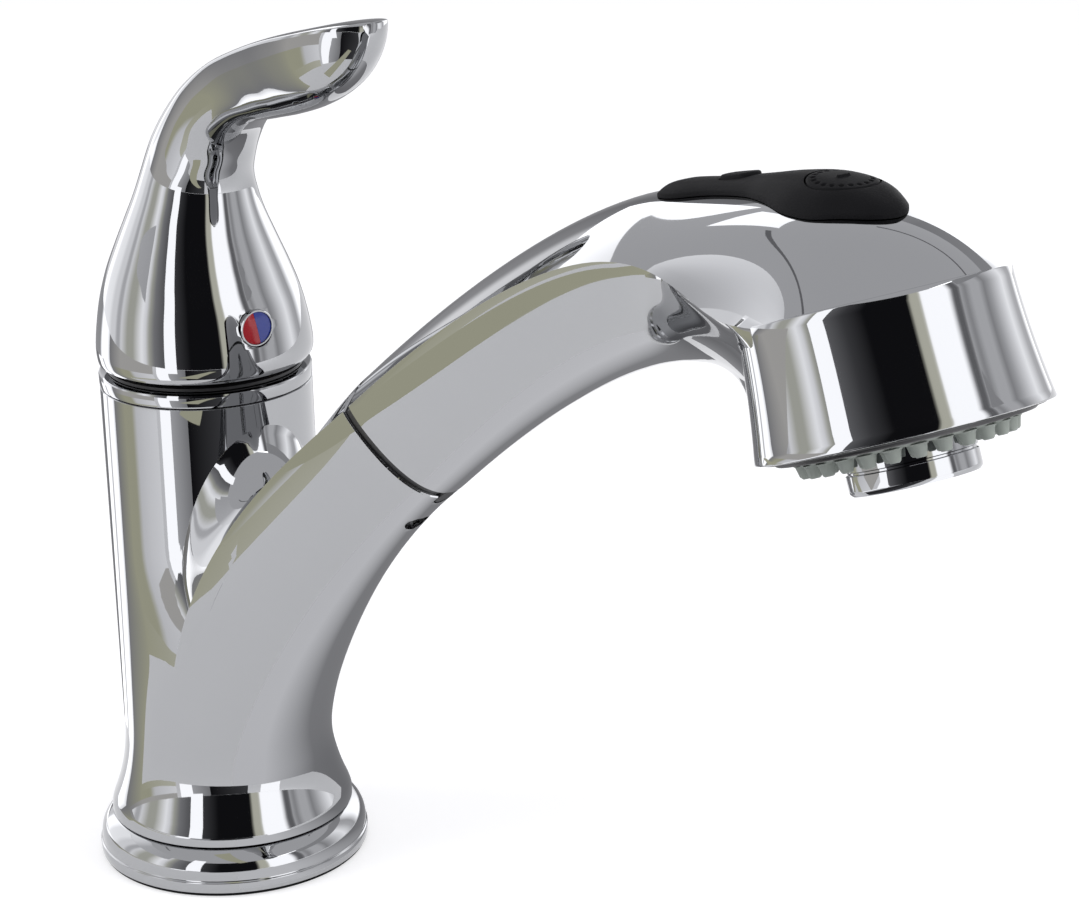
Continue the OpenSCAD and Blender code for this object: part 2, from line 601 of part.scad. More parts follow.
dome_wall = 2;
yoke_top = 136.5;
yoke_low = 131.5;
yoke_r = 20;
screw_r = 2;
dot_seat = 22.4;
module handle_shell() color(CHROME) difference() {
    skin(handle_grids());
    rotate_extrude() polygon([[0, dome_low - 1], [21.7, dome_low - 1], [21.7, dome_low], [22.3, 122.5],
                              [21.7, 128], [yoke_r + 0.3, 133], [yoke_r + 0.3, yoke_top],
                              [18.2, yoke_top], [17.6, 140], [15.4, 146], [12.4, 152], [9.5, 157], [0, 158]]);
    translate([0, 0, dot_z]) rotate([0, 90, 0]) {
        cylinder(r = screw_r + 0.4, h = 30);
        translate([0, 0, dot_seat]) cylinder(r = dot_r + seat_fit, h = 5);
    }
}

plate_in = 4.6;
plate_out = 7;
slot_r = pin_r + 0.25;
slot_back = 0.4;
slot_front = 2.9;
module handle_yoke() color(BLACK) difference() {
    union() {
        cylinder_between(yoke_r, yoke_low, yoke_top);
        rear_tab(-ear_in + 0.35, ear_in - 0.35, hinge_z, yoke_low + 0.5);
        rear_barrel(-ear_in + 0.35, ear_in - 0.35, ear_r);
        for (y = [-plate_out, plate_in]) translate([-4, y, pin_z - 3.2])
            cube([10.5, plate_out - plate_in, yoke_low - pin_z + 3.7]);
        translate([9, -4, 127]) cube([11, 8, yoke_low - 126.5]);
    }
    rear_barrel(-4, 4, hinge_r + run_fit);
    for (x = [-slot_back, slot_front]) translate([x, 0, pin_z]) rotate([90, 0, 0])
        cylinder(r = slot_r, h = 20, center = true);
    translate([-slot_back, -10, pin_z - slot_r]) cube([slot_front + slot_back, 20, 2*slot_r]);
    translate([8, 0, dot_z]) rotate([0, 90, 0]) cylinder(r = screw_r, h = 20);
    cylinder_between(7, yoke_top - 2.5, yoke_top + 1);
}

module handle_screw() color([0.35, 0.35, 0.37]) translate([12, 0, dot_z]) rotate([0, 90, 0]) difference() {
    cylinder(r = screw_r - 0.01, h = 10);
    translate([0, 0, 8]) cylinder(r = 1.2, h = 3, $fn = 6);
}

module on_dot() translate([dot_seat, 0, dot_z]) rotate([0, 90, 0]) children();
module button_bezel() color([0.85, 0.85, 0.88]) on_dot() ring(dot_r, dot_r - 0.5, 1.1);
// The dividing line leans a little, seen from the front
module half_mark(side) on_dot() intersection() {
    cylinder(r = dot_r - 0.55, h = 0.95);
    rotate(12) translate([-10, side < 0 ? -10.02 : 0.02, -1]) cube([20, 10, 5]);
}
module hot_mark() color([0.78, 0.1, 0.12]) half_mark(-1);
module cold_mark() color([0.1, 0.2, 0.7]) half_mark(1);

// Wand

gallery_r = 8;
cavity_r = 22.6;
cavity_h = 19.5;
dock_centre = wand_base + dock_h*UP;
bend_1 = [dock_centre[0] + 38*AX[0], dock_centre[2] + 38*AX[2]];
bend_2 = [170, 172];
port_at = -15;
bend_3 = at_head(port_at, 25);
front_button_at = [213.8, 196.8];
front_button_tilt = 7;
rear_button_at = [187.6, 194.1];
rear_button_tilt = -13;
// A point of the XZ plane from the head's own distance along X and height above the rim
function at_head(x, h) = [rim_x + x*HEAD_X[0] - h*HEAD_D[0], rim_z + x*HEAD_X[2] - h*HEAD_D[2]];
module on_front_button() translate([front_button_at[0], 0, front_button_at[1]])
    rotate([0, front_button_tilt, 0]) children();
module on_rear_button() translate([rear_button_at[0], 0, rear_button_at[1]])
    rotate([0, rear_button_tilt, 0]) children();

module skirt() on_head()
    rotate_extrude($fn = 120)
        polygon([[0, 0], for (k = [10:-1:0]) [skirt_r(skirt_h*k/10), skirt_h - skirt_h*k/10], [0, skirt_h]]);

// The way of the water, from a start in the dock to a height above the rim
module wand_path(start, end_h, r) {
    bar(start, bend_1, r);
    bar(bend_1, bend_2, r);
    bar(bend_2, bend_3, r);
    bar(bend_3, at_head(port_at, end_h), r);
    for (p = [bend_1, bend_2]) translate([p[0], 0, p[1]]) sphere(r = 1.05*r, $fn = 28);
    translate([bend_3[0], 0, bend_3[1]]) sphere(r = 1.31*r, $fn = 28);
}

module wand_shell() color(CHROME) difference() {
    union() {
        skin(wand_grids());
        skirt();
    }
    wand_path([dock_centre[0], dock_centre[2]], 18, gallery_r);
    on_dock() translate([0, 0, -1]) cylinder(r = nipple_r + seat_fit, h = 11);
    on_head() translate([0, 0, -1]) cylinder(r = cavity_r, h = cavity_h + 1);
    on_head() translate([0, 0, -1]) cylinder(r = rim_ring_r + seat_fit, h = rim_ring_h + 1.1);
    on_head() translate([spool_at, 0, cavity_h - 1]) cylinder(r = spool_r + 0.3, h = 13);
    on_front_button() translate([0, 0, -14]) cylinder(r = button_stem_r + 0.4, h = 20);
    on_front_button() translate([0, 0, -7]) cylinder(r = front_button_r + 1.1, h = 20);
    on_rear_button() translate([0, 0, -8.7]) oval(10.4, 6.6, 20);
    on_rear_button() translate([0, 0, -16]) cylinder(r = button_stem_r + 0.3, h = 20);
}
module oval(length, width, h) {
    for (x = [-1, 1]) translate([x*(length - width)/2, 0, 0]) cylinder(r = width/2, h = h);
    translate([-(length - width)/2, -width/2, 0]) cube([length - width, width, h]);
}

module docking_collar() color(BLACK) on_seam(wand_base) difference() {
    union() {
        translate([0, 0, -band_w + pass_gap]) linear_extrude(band_w - pass_gap)
            polygon([for (s = spread(24)) seam_outline(s, 0.7), for (s = [12:-1:-12]) seam_roof(s/12, 0.7)]);
        translate([-1.2, 0, -band_w - notch_depth + notch_r]) rotate([0, 90, 0])
            cylinder(r = notch_r - pass_gap, h = 1);
        translate([-1.2, -notch_r + pass_gap, -band_w - notch_depth + notch_r])
            cube([1, 2*(notch_r - pass_gap), band_w + notch_depth - notch_r - 0.4]);
    }
    translate([-dock_h, 0, -10]) cylinder(r = nipple_r + seat_fit, h = 20);
}
// Seam section drawn flat, with the crease height to the left, set in by a margin
function seam_outline(s, margin) =
    let (u = pow(abs(s), SEAM_SPREAD))
    [-margin - u*(seam_crease_h - 2*margin), sign(s)*(seam_half_w - margin)*half_profile(u, SEAM_BLEND)];
function seam_roof(s, margin) =
    [-seam_crease_h + margin - seam_crown_h*(1 - s*s), s*(seam_half_w - margin)];

module hose_nipple() color([0.5, 0.5, 0.52]) on_dock() difference() {
    translate([0, 0, -band_w - nipple_l]) cylinder(r = nipple_r, h = nipple_l + band_w + 9.9);
    translate([0, 0, -band_w - nipple_l - 1]) cylinder(r = hose_thread_r, h = hose_thread_h + 1);
    translate([0, 0, -band_w - nipple_l]) cylinder(r = 5.2, h = 60);
    translate([0, 0, 4]) cylinder(r = 5.5 + seat_fit, h = 20);
}
module check_valve() color(POM) on_dock() difference() {
    translate([0, 0, -band_w - nipple_l + hose_thread_h]) cylinder(r = 5.2 - seat_fit, h = 9);
    translate([0, 0, -band_w - nipple_l + hose_thread_h - 1]) cylinder(r = 3, h = 3);
    translate([0, 0, -band_w - nipple_l + hose_thread_h + 4]) cylinder(r = 3, h = 10);
    for (a = [0:90:270]) rotate(a) translate([1.9, 0, -band_w - nipple_l + hose_thread_h - 1])
        cylinder(r = 0.7, h = 12, $fn = 24);
}

tube_start = [dock_centre[0] + 4*AX[0], dock_centre[2] + 4*AX[2]];
module waterway() color(POM) difference() {
    wand_path(tube_start, core_top + seat_fit, 5.5);
    wand_path(tube_start - [AX[0], AX[2]], core_top - 1, 4);
}

core_low = 2;
core_top = 17;
core_r = 22.4;
module head_core() color(POM) on_head() difference() {
    translate([0, 0, core_low]) cylinder(r = core_r, h = core_top - core_low);
    translate([0, 0, core_low - 1]) cylinder(r = aerator_r - 1.5 + seat_fit, h = 6);
    translate([spool_at, 0, core_low + 4]) cylinder(r = spool_r + run_fit, h = 20);
    translate([port_at, 0, core_low + 8]) cylinder(r = 4, h = 20);
    translate([port_at, 0, core_low + 9.5]) rotate([0, 90, 0]) cylinder(r = 1.4, h = spool_at - port_at);
}

spool_r = 3;
spool_at = -5;
spool_top = 29.4;
module diverter_spool() color([0.75, 0.75, 0.76]) on_head() translate([spool_at, 0, 0]) {
    translate([0, 0, core_low + 7]) cylinder(r = spool_r, h = 3);
    translate([0, 0, core_low + 7]) cylinder(r = 1.9, h = spool_top - core_low - 7);
}

face_low = -1.5;
face_r = 19.4;
rim_ring_r = rim_r - 1.5;
rim_ring_h = 2.4;
module rim_ring() color(BLACK) on_head()
    rotate_extrude($fn = 120)
        polygon([[face_r + 0.1, -1], [cavity_r - 0.4, -1], [cavity_r - 0.1, -0.3], [rim_ring_r, -0.3],
                 [rim_ring_r, rim_ring_h], [cavity_r + 0.1, rim_ring_h], [cavity_r + 0.1, core_low - seat_fit],
                 [face_r + 0.1, core_low - seat_fit]]);
nozzle_rows = [[14.1, 20, 0], [17.7, 26, 6.4]];
module spray_face() color(FACE_GREY) on_head() difference() {
    union() {
        translate([0, 0, face_low]) cylinder(r = face_r, h = core_low - face_low - seat_fit);
        for (row = nozzle_rows) for (i = [0:row[1]-1]) rotate(row[2] + 360*i/row[1])
            translate([row[0], 0, face_low - 2]) cylinder(r1 = 1.05, r2 = 1.35, h = 3.4, $fn = 16);
    }
    translate([0, 0, -10]) cylinder(r = aerator_r + 0.15, h = 30);
}
module aerator_housing() color(CHROME) on_head() difference() {
    union() {
        translate([0, 0, -aerator_out]) cylinder(r = aerator_r, h = aerator_out + core_low);
        translate([0, 0, core_low - 1]) cylinder(r = aerator_r - 1.5, h = 4);
    }
    translate([0, 0, -aerator_out - 1]) cylinder(r = aerator_r - 1.4, h = aerator_out + 1);
    cylinder(r = aerator_r - 3, h = 20);
}
module aerator_screen() color(BLACK) on_head() difference() {
    translate([0, 0, -aerator_out + 2]) cylinder(r = aerator_r - 1.45, h = aerator_out - 2.02);
    for (i = [-2:2]) for (j = [-2:2]) translate([i*3.2 - 0.9, j*3.2 - 0.9, -aerator_out])
        cube([1.8, 1.8, 4]);
}

// Thumb pad: a rubber leaf on top of the wand, swelling round the front button

PAD_N = 26;
PAD_W = 12;
pad_lift = 0.15;
pad_edge = 0.6;
// Stations: place along the hood, half width as a share of the hood's, height above it
pad_stations = [[-0.052, 0.2, 0.7], [-0.045, 0.27, 1.1], [-0.03, 0.31, 1.45], [0.03, 0.32, 1.7],
                [0.15, 0.26, 1.9], [0.29, 0.28, 2.4], [0.4, 0.37, 3.1], [0.507, 0.48, 3.6],
                [0.587, 0.49, 3.5], [0.642, 0.44, 3.1], [0.69, 0.31, 2.5], [0.725, 0.2, 1.9],
                [0.745, 0.1, 1.4], [0.753, 0.01, 1]];
function hood_point(s, t) = t < 0 ? neck_top(s, 1 + t*HEAD_START/NECK_END) : head_top(s, t);
function pad_base(q, c) = hood_point(q[1]*c, q[0]) + [0, 0, pad_lift];
function pad_top(q, c) =
    let (p = pad_base(q, c), crest = pad_base(q, 0)[2] + q[2], edge = pad_base(q, 1)[2] + pad_edge)
    [p[0], p[1], mix(crest, edge, pow(abs(c), 3))];
function pad_grids() =
    let (rows = [for (t = steps(PAD_N)) curve_at(pad_stations, t*(len(pad_stations) - 1))],
         cs = spread(PAD_W),
         top = [for (q = rows) [for (c = cs) pad_top(q, c)]],
         low = [for (q = rows) [for (c = cs) pad_base(q, c)]],
         near = [for (j = [0:PAD_N]) [low[j][0], top[j][0]]],
         far = [for (j = [0:PAD_N]) [top[j][PAD_W], low[j][PAD_W]]])
    [turned(top), low, near, far, [low[0], top[0]], [top[PAD_N], low[PAD_N]]];
button_stem_r = 1.9;
module thumb_pad() color(BLACK) difference() {
    union() {
        skin(pad_grids());
        on_front_button() translate([0, 0, -3.5]) cylinder(r = front_button_r + 1, h = 3.2);
        on_rear_button() translate([0, 0, -5.3]) oval(10.2, 6.4, 3.4);
    }
    on_front_button() translate([0, 0, -8]) cylinder(r = front_button_r + pass_gap, h = 30);
    on_rear_button() translate([0, 0, -10]) oval(8.6 + 2*pass_gap, 4.8 + 2*pass_gap, 30);
}
// The front button's top is the pad's own surface, so it lies flush all round
module front_button() color(BLACK) {
    intersection() {
        skin(pad_grids());
        on_front_button() translate([0, 0, -0.5]) cylinder(r = front_button_r, h = 8);
    }
    on_front_button() {
        translate([0, 0, -2.2]) cylinder(r = front_button_r, h = 2.6);
        translate([0, 0, -12]) cylinder(r = button_stem_r, h = 11);
    }
}
module rear_button() color(BLACK) on_rear_button() {
    translate([0, 0, -4.3]) oval(8.6, 4.8, 4.8);
    translate([0, 0, -9.8]) cylinder(r = button_stem_r - 0.6, h = 7);
}
module return_spring(r, low, high, turns) {
    n = 10*turns;
    wire = 0.35;
    pts = [for (i = [0:n]) for (k = [0:5]) let (a = 360*i/10, b = 60*k)
        [(r + wire*cos(b))*cos(a), (r + wire*cos(b))*sin(a), mix(low + wire, high - wire, i/n) + wire*sin(b)]];
    sides = [for (i = [0:n-1]) for (k = [0:5]) let (a = 6*i + k, b = 6*i + (k+1)%6)
        each [[a, b, b + 6], [a, b + 6, a + 6]]];
    polyhedron(points = pts, faces = concat(sides, [[5, 4, 3, 2, 1, 0]], [[for (k = [0:5]) 6*n + k]]));
}
module front_button_spring() color([0.75, 0.75, 0.76])
    on_front_button() return_spring(3.4, -6.9, -2.3, 3);
module rear_button_spring() color([0.75, 0.75, 0.76])
    on_rear_button() return_spring(1.9, -8.6, -4.4, 3);

deck_gasket();
deck_ring();
mounting_base();
thrust_washer();
lower_glide_ring();
hot_supply_tube();
cold_supply_tube();
outlet_tube();
valve_body();
upper_glide_ring();
cartridge_sleeve();
bonnet_nut();
trim_ring();
spout_body();
dock_bushing();
dock_screw();
pivot_ring();
hinge_pin();
cartridge_stem();
stem_seals();
stem_cross_pin();
handle_shell();
handle_yoke();
handle_screw();
button_bezel();
hot_mark();
cold_mark();
wand_shell();
docking_collar();
hose_nipple();
check_valve();
waterway();
head_core();
rim_ring();
spray_face();
aerator_housing();
aerator_screen();
thumb_pad();
front_button();
front_button_spring();
rear_button();
rear_button_spring();
diverter_spool();
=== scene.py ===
"""Visual model of a chrome pull-out kitchen faucet, built on its CAD frame.

Sizes are in millimetres in the classes and turn to metres where a mesh is made.
"""

import json
import logging
import math
from dataclasses import dataclass, field, replace
from enum import Enum
from typing import Callable, Sequence

import bmesh
import bpy
from bmesh.types import BMEdge, BMesh, BMVert
from bpy.types import ID, Material, Mesh, Node, NodeSocket, NodeTree, Object
from mathutils import Matrix, Vector
from mathutils.bvhtree import BVHTree

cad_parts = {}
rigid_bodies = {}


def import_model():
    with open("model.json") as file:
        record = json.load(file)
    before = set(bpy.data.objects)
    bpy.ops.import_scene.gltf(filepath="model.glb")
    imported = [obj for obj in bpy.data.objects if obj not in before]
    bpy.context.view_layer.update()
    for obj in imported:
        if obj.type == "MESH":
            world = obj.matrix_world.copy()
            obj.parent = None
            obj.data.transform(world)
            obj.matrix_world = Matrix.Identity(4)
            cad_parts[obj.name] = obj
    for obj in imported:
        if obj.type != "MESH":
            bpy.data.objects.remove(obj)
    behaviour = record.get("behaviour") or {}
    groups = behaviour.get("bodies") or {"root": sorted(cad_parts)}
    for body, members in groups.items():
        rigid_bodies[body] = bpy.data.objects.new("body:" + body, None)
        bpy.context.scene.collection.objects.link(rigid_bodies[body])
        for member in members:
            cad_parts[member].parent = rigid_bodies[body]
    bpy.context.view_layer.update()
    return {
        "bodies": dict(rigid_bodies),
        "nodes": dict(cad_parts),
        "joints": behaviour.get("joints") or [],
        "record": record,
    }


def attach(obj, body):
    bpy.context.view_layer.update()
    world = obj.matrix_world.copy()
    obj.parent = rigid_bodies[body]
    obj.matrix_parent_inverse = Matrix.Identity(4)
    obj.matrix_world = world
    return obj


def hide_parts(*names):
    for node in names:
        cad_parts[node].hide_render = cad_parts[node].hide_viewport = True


LOG = logging.getLogger("faucet")
MM = 0.001
METRES = Matrix.Scale(MM, 4)
UPRIGHT = Matrix.Identity(4)
Z = Vector((0, 0, 1))
Y = Vector((0, 1, 0))
Point = Callable[[float, float], Vector]
Move = Callable[[Vector], Vector]
Profile = Sequence[tuple[float, float]]
Loop = list[BMEdge]


class Body(Enum):
    """The rigid bodies of the faucet that visual pieces ride on."""

    BASE = "root"
    SPOUT = "spout"
    LEVER = "handle_lift"
    WAND = "wand"
    FRONT_BUTTON = "front_button"
    REAR_BUTTON = "rear_button"


# Small maths of curves and sections


def mix(a, b, t: float):
    """Returns the value a share t of the way from a to b."""
    return a * (1 - t) + b * t


def smooth(t: float) -> float:
    """Returns an eased step from 0 to 1."""
    t = min(1.0, max(0.0, t))
    return t * t * (3 - 2 * t)


def sign(s: float) -> int:
    """Returns -1, 0 or 1."""
    return (s > 0) - (s < 0)


def hermite(p0, d0, p1, d1, v: float):
    """Returns a point of the cubic with end points p0, p1 and end slopes d0, d1."""
    a, b = v * v * v, v * v
    return (2 * a - 3 * b + 1) * p0 + (a - 2 * b + v) * d0 + (3 * b - 2 * a) * p1 + (a - b) * d1


def bezier(p: Sequence[Vector], t: float) -> Vector:
    """Returns a point of a cubic Bezier curve."""
    u = 1 - t
    return u**3 * p[0] + 3 * t * u * u * p[1] + 3 * t * t * u * p[2] + t**3 * p[3]


def bezier_slope(p: Sequence[Vector], t: float) -> Vector:
    """Returns the slope of a cubic Bezier curve."""
    u = 1 - t
    return 3 * u * u * (p[1] - p[0]) + 6 * t * u * (p[2] - p[1]) + 3 * t * t * (p[3] - p[2])


def cosd(a: float) -> float:
    """Returns the cosine of an angle in degrees."""
    return math.cos(math.radians(a))


def sind(a: float) -> float:
    """Returns the sine of an angle in degrees."""
    return math.sin(math.radians(a))


def along(pitch: float) -> Vector:
    """Returns the direction in the middle plane that rises at a pitch in degrees."""
    return Vector((cosd(pitch), 0, sind(pitch)))


def across(pitch: float) -> Vector:
    """Returns the upward direction square to along(pitch)."""
    return Vector((-sind(pitch), 0, cosd(pitch)))


def through(stations: Sequence[Sequence[float]], t: float) -> list[float]:
    """Returns the numbers at a share t of the way through a list of stations, eased."""
    last = len(stations) - 1
    i = min(int(t * last), last - 1)
    a, b, c, d = (stations[max(0, min(last, i + k))] for k in (-1, 0, 1, 2))
    return [hermite(b[k], (c[k] - a[k]) / 2, c[k], (d[k] - b[k]) / 2, t * last - i) for k in range(len(b))]


@dataclass(frozen=True)
class Section:
    """Closed cross-section of arm and wand: a rounded keel, a crease and a crown.

    The crease lies `crease` above the keel's lowest point, `half_w` to each side.
    """

    base: Vector
    pitch: float
    crease: float
    half_w: float
    rise: float
    blend: float
    spread: float = 1.3
    roll_in: float = 0.025

    @property
    def ahead(self) -> Vector:
        """Returns the direction in which the section faces."""
        return along(self.pitch)

    @property
    def up(self) -> Vector:
        """Returns the direction from its keel to its crown."""
        return across(self.pitch)

    def profile(self, u: float) -> float:
        """Returns the share of the half width at a share u of the crease's height."""
        round_share = self.blend * math.sqrt(u) + (1 - self.blend) * math.sqrt(max(0.0, 1 - (1 - u) ** 2))
        return round_share + self.roll_in * (u**3 - u**11)

    def low(self, s: float) -> Vector:
        """Returns a point of the keel side, s from -1 to 1 between the creases."""
        u = abs(s) ** self.spread
        return self.base + u * self.crease * self.up + sign(s) * self.half_w * self.profile(u) * Y

    def crown(self, s: float) -> Vector:
        """Returns a point of the crown, s from -1 to 1 between the creases."""
        return self.base + (self.crease + self.rise * (1 - s * s)) * self.up + self.half_w * s * Y

    def ring(self, count: int, margin: float = 0.0) -> list[Vector]:
        """Returns the whole outline as a list of points, set in by a margin.

        Args:
            count: number of points on each of the two sides.
            margin: distance that the outline is drawn in towards its middle.

        Returns:
            The points, once round.
        """
        steps = [-1 + 2 * i / count for i in range(count)]
        points = [self.low(s) for s in steps] + [self.crown(-s) for s in steps]
        middle = self.base + 0.55 * self.crease * self.up
        return [p - (p - middle).normalized() * margin for p in points]


# Mesh tools


def lay_patch(bm: BMesh, columns: int, rows: int, point: Point) -> None:
    """Lays a grid and moves each of its corners onto a surface.

    Args:
        bm: mesh that takes the patch.
        columns: number of faces across, for s from -1 to 1.
        rows: number of faces along, for t from 0 to 1.
        point: surface point in millimetres for (s, t).
    """
    verts = bmesh.ops.create_grid(bm, x_segments=columns, y_segments=rows, size=1.0)["verts"]
    reach = max(v.co.x for v in verts)
    for vert in verts:
        vert.co = point(vert.co.x / reach, (vert.co.y / reach + 1) / 2) * MM


def weld(bm: BMesh, distance: float = 0.002) -> None:
    """Merges corners that lie within a distance in millimetres and turns faces outwards."""
    bmesh.ops.remove_doubles(bm, verts=bm.verts, dist=distance * MM)
    bmesh.ops.dissolve_degenerate(bm, edges=bm.edges, dist=0.0005 * MM)
    bmesh.ops.recalc_face_normals(bm, faces=bm.faces)


def open_loops(bm: BMesh) -> list[Loop]:
    """Returns the open borders of a mesh, each as its list of edges."""
    left = {e for e in bm.edges if e.is_boundary}
    loops = []
    while left:
        stack = [left.pop()]
        loop = list(stack)
        while stack:
            for vert in stack.pop().verts:
                near = [e for e in vert.link_edges if e in left]
                left.difference_update(near)
                stack += near
                loop += near
        loops.append(loop)
    return loops


def loop_near(bm: BMesh, place: Vector) -> Loop:
    """Returns the open border whose middle lies nearest to a place in millimetres."""
    def distance(loop: Loop) -> float:
        points = {v for e in loop for v in e.verts}
        return (sum((v.co for v in points), Vector()) / len(points) - place * MM).length

    return min(open_loops(bm), key=distance)


def cap_loops(bm: BMesh) -> None:
    """Closes each open border with a face."""
    for loop in open_loops(bm):
        bmesh.ops.holes_fill(bm, edges=loop, sides=0)


def pull_loop(bm: BMesh, loop: Loop, *moves: Move) -> Loop:
    """Extrudes a border once for each move and moves the new corners.

    Args:
        bm: mesh that holds the border.
        loop: edges of the border.
        moves: each gives the new place in millimetres for an old one in millimetres.

    Returns:
        The edges of the last border.
    """
    for move in moves:
        made = bmesh.ops.extrude_edge_only(bm, edges=loop)["geom"]
        for vert in (g for g in made if isinstance(g, BMVert)):
            vert.co = move(vert.co / MM) * MM
        loop = [g for g in made if isinstance(g, BMEdge) and g.is_boundary]
    return loop


def onto_ring(radius: float, z: float) -> Move:
    """Returns the move that puts a point on a level ring round Z."""
    return lambda p: Vector((p.x, p.y, 0)).normalized() * radius + z * Z


def lathe(bm: BMesh, profile: Profile, steps: int = 96, place: Matrix = UPRIGHT, closed: bool = True
          ) -> list[BMVert]:
    """Spins a profile of (radius, height) points round Z and sets the result in place.

    Args:
        bm: mesh that takes the turned shape.
        profile: points in millimetres, from one end to the other.
        steps: number of steps round.
        place: where the turned shape goes, in millimetres.
        closed: joins the last point to the first.

    Returns:
        The corners of the turned shape.
    """
    before = set(bm.verts)
    verts = [bm.verts.new((r, 0, h)) for r, h in profile]
    pairs = list(zip(verts, verts[1:])) + ([(verts[-1], verts[0])] if closed else [])
    edges = [bm.edges.new(pair) for pair in pairs]
    bmesh.ops.spin(bm, geom=verts + edges, cent=(0, 0, 0), axis=(0, 0, 1), dvec=(0, 0, 0),
                   angle=2 * math.pi, steps=steps, use_merge=True)
    on_axis = [v for v in bm.verts if v not in before and math.hypot(v.co.x, v.co.y) < 1e-5]
    bmesh.ops.remove_doubles(bm, verts=on_axis, dist=1e-4)
    made = [v for v in bm.verts if v not in before]
    bmesh.ops.transform(bm, matrix=METRES @ place, verts=made)
    bmesh.ops.recalc_face_normals(bm, faces=list({f for v in made for f in v.link_faces}))
    return made


def disc_profile(radius: float, low: float, high: float, edge: float = 0.3) -> list[tuple[float, float]]:
    """Returns the profile of a disc or stem on the axis with softened edges."""
    bend = 0.3 * edge
    return [(0, low), (radius - edge, low), (radius - bend, low + bend), (radius, low + edge),
            (radius, high - edge), (radius - bend, high - bend), (radius - edge, high), (0, high)]


def add_peg(bm: BMesh, radius: float, stretch: float, height: float, place: Matrix) -> None:
    """Adds a round peg whose rear half is drawn out backwards.

    Args:
        bm: mesh that takes the peg.
        radius: radius of its round end, in millimetres.
        stretch: length by which the rear half is drawn out.
        height: height along its Z.
        place: where it goes, in millimetres.
    """
    disc = bmesh.ops.create_circle(bm, cap_ends=True, radius=radius, segments=24)["verts"]
    for vert in disc:
        if vert.co.x < 0:
            vert.co.x -= stretch
    faces = list({f for v in disc for f in v.link_faces})
    top = [g for g in bmesh.ops.extrude_face_region(bm, geom=faces)["geom"] if isinstance(g, BMVert)]
    bmesh.ops.translate(bm, verts=top, vec=(0, 0, height))
    bmesh.ops.transform(bm, matrix=METRES @ place, verts=disc + top)


def frame_at(origin: Vector, up: Vector) -> Matrix:
    """Returns the placement whose Z runs along up and whose Y stays level, in millimetres."""
    z = up.normalized()
    x = Y.cross(z).normalized()
    return Matrix.Translation(origin) @ Matrix((x, Y, z)).transposed().to_4x4()


def to_mesh(name: str, bm: BMesh) -> Mesh:
    """Returns the mesh made of a bmesh, which is used up."""
    mesh = bpy.data.meshes.new(name)
    bm.to_mesh(mesh)
    bm.free()
    return mesh


def add_object(name: str, data: ID) -> Object:
    """Returns a new object of the scene that shows the data."""
    made = bpy.data.objects.new(name, data)
    bpy.context.collection.objects.link(made)
    return made


def finish_piece(name: str, bm: BMesh, finish: "Finish", body: Body, node: str, sharp: float = 38.0,
                 rounding: float = 0.0) -> Object:
    """Turns a mesh into a piece of the visual model.

    Args:
        name: name of the piece.
        bm: its mesh, in metres.
        finish: its surface.
        body: the rigid body it rides on.
        node: CAD node that it stands for.
        sharp: edges bent by more than this many degrees stay crisp.
        rounding: width in millimetres of the bevel on crisp edges.

    Returns:
        The new object.
    """
    for face in bm.faces:
        face.smooth = True
    for edge in bm.edges:
        edge.smooth = len(edge.link_faces) != 2 or edge.calc_face_angle() < math.radians(sharp)
    piece = add_object(name, to_mesh(name, bm))
    piece.data.materials.append(finish.material())
    if rounding:
        bevel = piece.modifiers.new("Softened edges", "BEVEL")
        bevel.width = rounding * MM
        bevel.segments = 3
        bevel.limit_method = "ANGLE"
        bevel.angle_limit = math.radians(sharp)
        bevel.miter_outer = "MITER_ARC"
    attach(piece, body.value)
    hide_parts(node)
    LOG.info("%s: %d faces on %s", name, len(piece.data.polygons), body.value)
    return piece


def turn_piece(name: str, profile: Profile, finish: "Finish", body: Body, node: str, steps: int = 144,
               place: Matrix = UPRIGHT) -> None:
    """Makes a piece that is one turned profile.

    Args:
        name: name of the piece.
        profile: points in millimetres, once round the section.
        finish: its surface.
        body: the rigid body it rides on.
        node: CAD node that it stands for.
        steps: number of steps round.
        place: where it goes, in millimetres.
    """
    bm = bmesh.new()
    lathe(bm, profile, steps, place)
    finish_piece(name, bm, finish, body, node)


def carve(piece: Object, cutter: BMesh) -> None:
    """Cuts a shape out of a piece and keeps the result as its mesh.

    Args:
        piece: the piece that is cut.
        cutter: closed mesh of what goes away; it is used up.
    """
    mesh, old = to_mesh("cutter", cutter), piece.data
    tool, bare = add_object("cutter", mesh), add_object("bare", old)
    cut = bare.modifiers.new("Cut", "BOOLEAN")
    cut.operation = "DIFFERENCE"
    cut.solver = "EXACT"
    cut.object = tool
    graph = bpy.context.evaluated_depsgraph_get()
    piece.data = bpy.data.meshes.new_from_object(bare.evaluated_get(graph))
    piece.data.name = old.name
    for spare in (bare, tool):
        bpy.data.objects.remove(spare)
    for spare in (old, mesh):
        bpy.data.meshes.remove(spare)


# Finishes


def linear(colour: str) -> tuple[float, ...]:
    """Returns an sRGB hex colour as linear RGBA."""
    shares = [int(colour[i:i + 2], 16) / 255 for i in (0, 2, 4)]
    return (*[c / 12.92 if c <= 0.04045 else ((c + 0.055) / 1.055) ** 2.4 for c in shares], 1.0)


def add_node(tree: NodeTree, kind: str, settings: dict | None = None, links: dict | None = None) -> Node:
    """Adds a shader node.

    Args:
        tree: the node tree.
        kind: Blender's node type without its first word.
        settings: values by property name, or by input name or index.
        links: output sockets by input name or index.

    Returns:
        The new node.
    """
    node = tree.nodes.new("Shader" + kind)
    for key, value in (settings or {}).items():
        if isinstance(key, str) and hasattr(node, key) and key not in node.inputs:
            setattr(node, key, value)
        else:
            node.inputs[key].default_value = value
    for key, socket in (links or {}).items():
        tree.links.new(socket, node.inputs[key])
    return node


